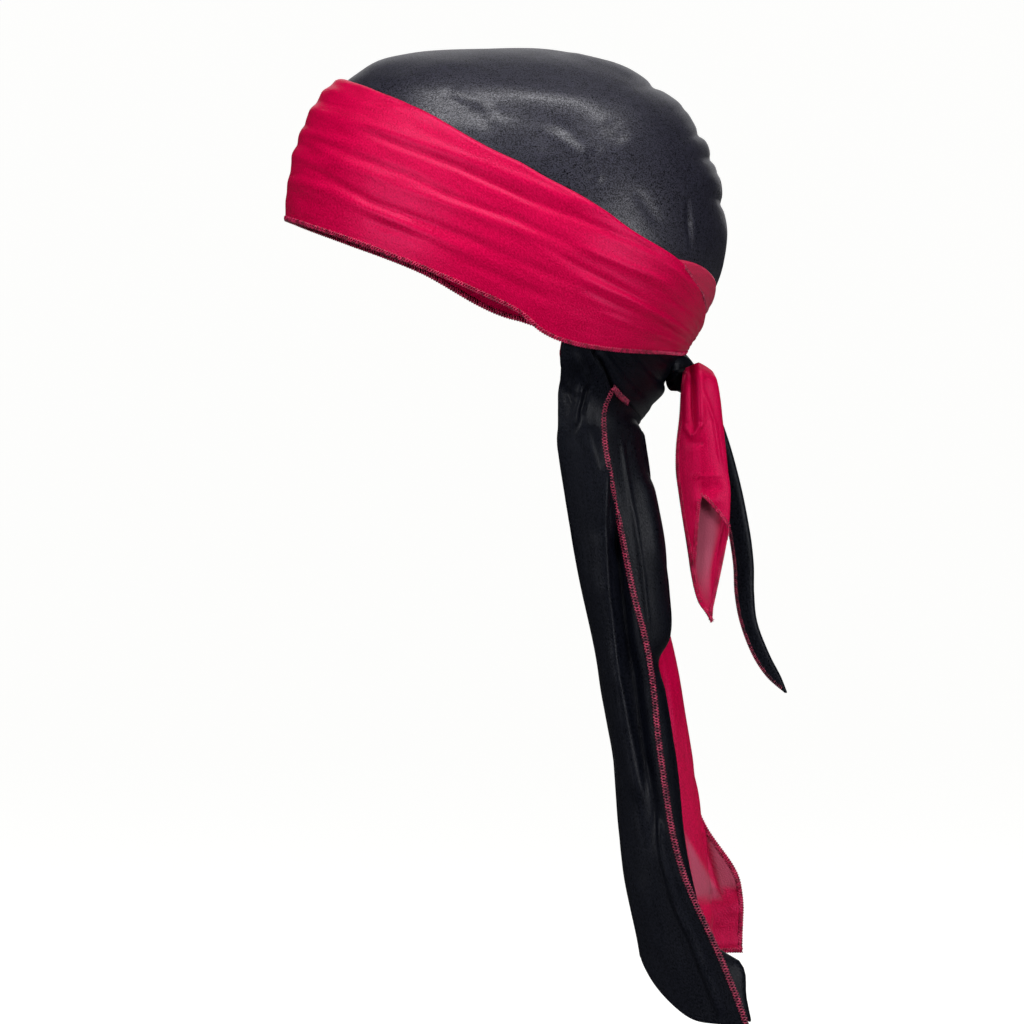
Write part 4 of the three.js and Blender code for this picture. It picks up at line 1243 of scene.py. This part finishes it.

# %% [markdown]
# ## Handing the pieces to the frame
#
# Each cloth takes the place of its plain solid and rides on the one body.

# %% Ride and replace
BODY = "root"
HANDED = [
    # piece, nodes it stands for, slot, flat size, flat area, how held, what it lies on, stitches
    (crown_panels[1], ["crown_left"], "black_satin", (0.31, 0.16), 0.036, "stretched", [], []),
    (crown_panels[-1], ["crown_right"], "black_satin", (0.31, 0.16), 0.036, "stretched", [], []),
    (crimson_band, ["forehead_band"], "red_satin", (0.66, 0.058), None, "stretched",
     ["crown_left_panel", "crown_right_panel"], [band_stitches, turned_back_stitches]),
    (nape_strap, ["nape_wrap"], "black_satin", (0.16, 0.036), None, "stretched", ["tail_black"], []),
    (knot_black, ["knot"], "black_satin", None, None, "", [], []),
    (crimson_tie, ["tie_end_red"], "red_satin", (0.06, 0.119), 0.0042, "hung", ["knot_black"],
     [crimson_tie_stitches]),
    (black_tie, ["tie_end_black"], "black_satin", (0.018, 0.155), 0.0026, "hung", ["knot_black"],
     [black_tie_stitches]),
    (tail_black, ["tail_left"], "black_satin", (0.13, 0.30), 0.032, "hung", ["nape_strap"],
     [tail_black_stitches]),
    (tail_crimson, ["tail_right"], "red_satin", (0.13, 0.30), 0.032, "hung", ["nape_strap"],
     [tail_crimson_stitches]),
]
for piece, nodes, slot, flat, area, held, rests, stitches in HANDED:
    for part in (piece, *stitches):
        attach(part, BODY)
    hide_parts(*nodes)

# %% [markdown]
# ## Studio
#
# The stage is a round pale dish with a floor under the durag, so that the light is soft and the
# background plain from every side. Large soft lights stand above, before and behind.

# %% Floor and dish
FLOOR_HEIGHT = -0.475
DISH_SIDES = 96


def studio_dish():
    radius = np.array([0, 4, 8, 10, 11.2, 11.8, 12, 12])
    height = np.array([0, 0, 0, 0.25, 0.9, 2.0, 4.0, 12.0]) + FLOOR_HEIGHT
    turn = np.linspace(0, 2 * math.pi, DISH_SIDES, endpoint=False)
    points = [(r * math.cos(a), r * math.sin(a), h) for r, h in zip(radius, height) for a in turn]
    index = np.arange(len(points)).reshape(len(radius), DISH_SIDES)
    faces = quad_faces(np.hstack([index, index[:, :1]]))[:, ::-1]
    dish = new_piece("studio_dish", points, [], faces.tolist())
    clean(dish.data, merge=MERGE_REACH, thin=THIN_FACE)
    material, tree, shader = new_material("pale studio")
    shader.inputs["Base Color"].default_value = (0.16, 0.16, 0.158, 1)
    shader.inputs["Roughness"].default_value = 0.9
    shader.inputs["Emission Color"].default_value = (1, 1, 0.99, 1)
    seen = tree.nodes.new("ShaderNodeLightPath")
    glow = math_node(tree, "MULTIPLY", seen.outputs["Is Camera Ray"], 0.97)
    tree.links.new(glow, shader.inputs["Emission Strength"])
    dish.data.materials.append(material)


studio_dish()


# %% Lights
def soft_light(name, place, size, power, target=(0, 0, -0.15), deep=None):
    """Soft light that looks at its target: a disk, or a long panel of size by deep."""
    data = bpy.data.lights.new(name, "AREA")
    data.shape, data.size, data.energy = "RECTANGLE" if deep else "DISK", size, power
    if deep:
        data.size_y = deep
    light = bpy.data.objects.new(name, data)
    bpy.context.scene.collection.objects.link(light)
    light.location = place
    way = Vector(np.array(target) - np.array(place))
    light.rotation_euler = way.to_track_quat("-Z", "Y").to_euler()


soft_light("overhead", (0.76, 0.15, 2.15), 2.8, 74, deep=0.35)
soft_light("left front", (2.2, -1.9, 0.3), 1.5, 50)
soft_light("left back", (2.0, 2.0, -0.1), 1.3, 54)
soft_light("right", (-2.1, 0.3, 0.9), 2.2, 10)
world = bpy.data.worlds.new("studio air")
world.use_nodes = True
air = world.node_tree.nodes["Background"].inputs
air["Color"].default_value = (1, 1, 1, 1)
air["Strength"].default_value = 0.10
bpy.context.scene.world = world
bpy.context.scene.view_settings.view_transform = "Standard"

# %% Camera
CAMERA_DISTANCE = 6.0
FRAME_HEIGHT = 0.4813
FRAME_MIDDLE = (0.0056, -0.2167)
SENSOR = 36
lens = bpy.data.cameras.new("camera")
lens.sensor_width = SENSOR
lens.lens = SENSOR * CAMERA_DISTANCE / FRAME_HEIGHT
camera = bpy.data.objects.new("camera", lens)
camera.location = (CAMERA_DISTANCE, *FRAME_MIDDLE)
camera.rotation_euler = (math.pi / 2, 0, math.pi / 2)
bpy.context.scene.collection.objects.link(camera)
bpy.context.scene.camera = camera
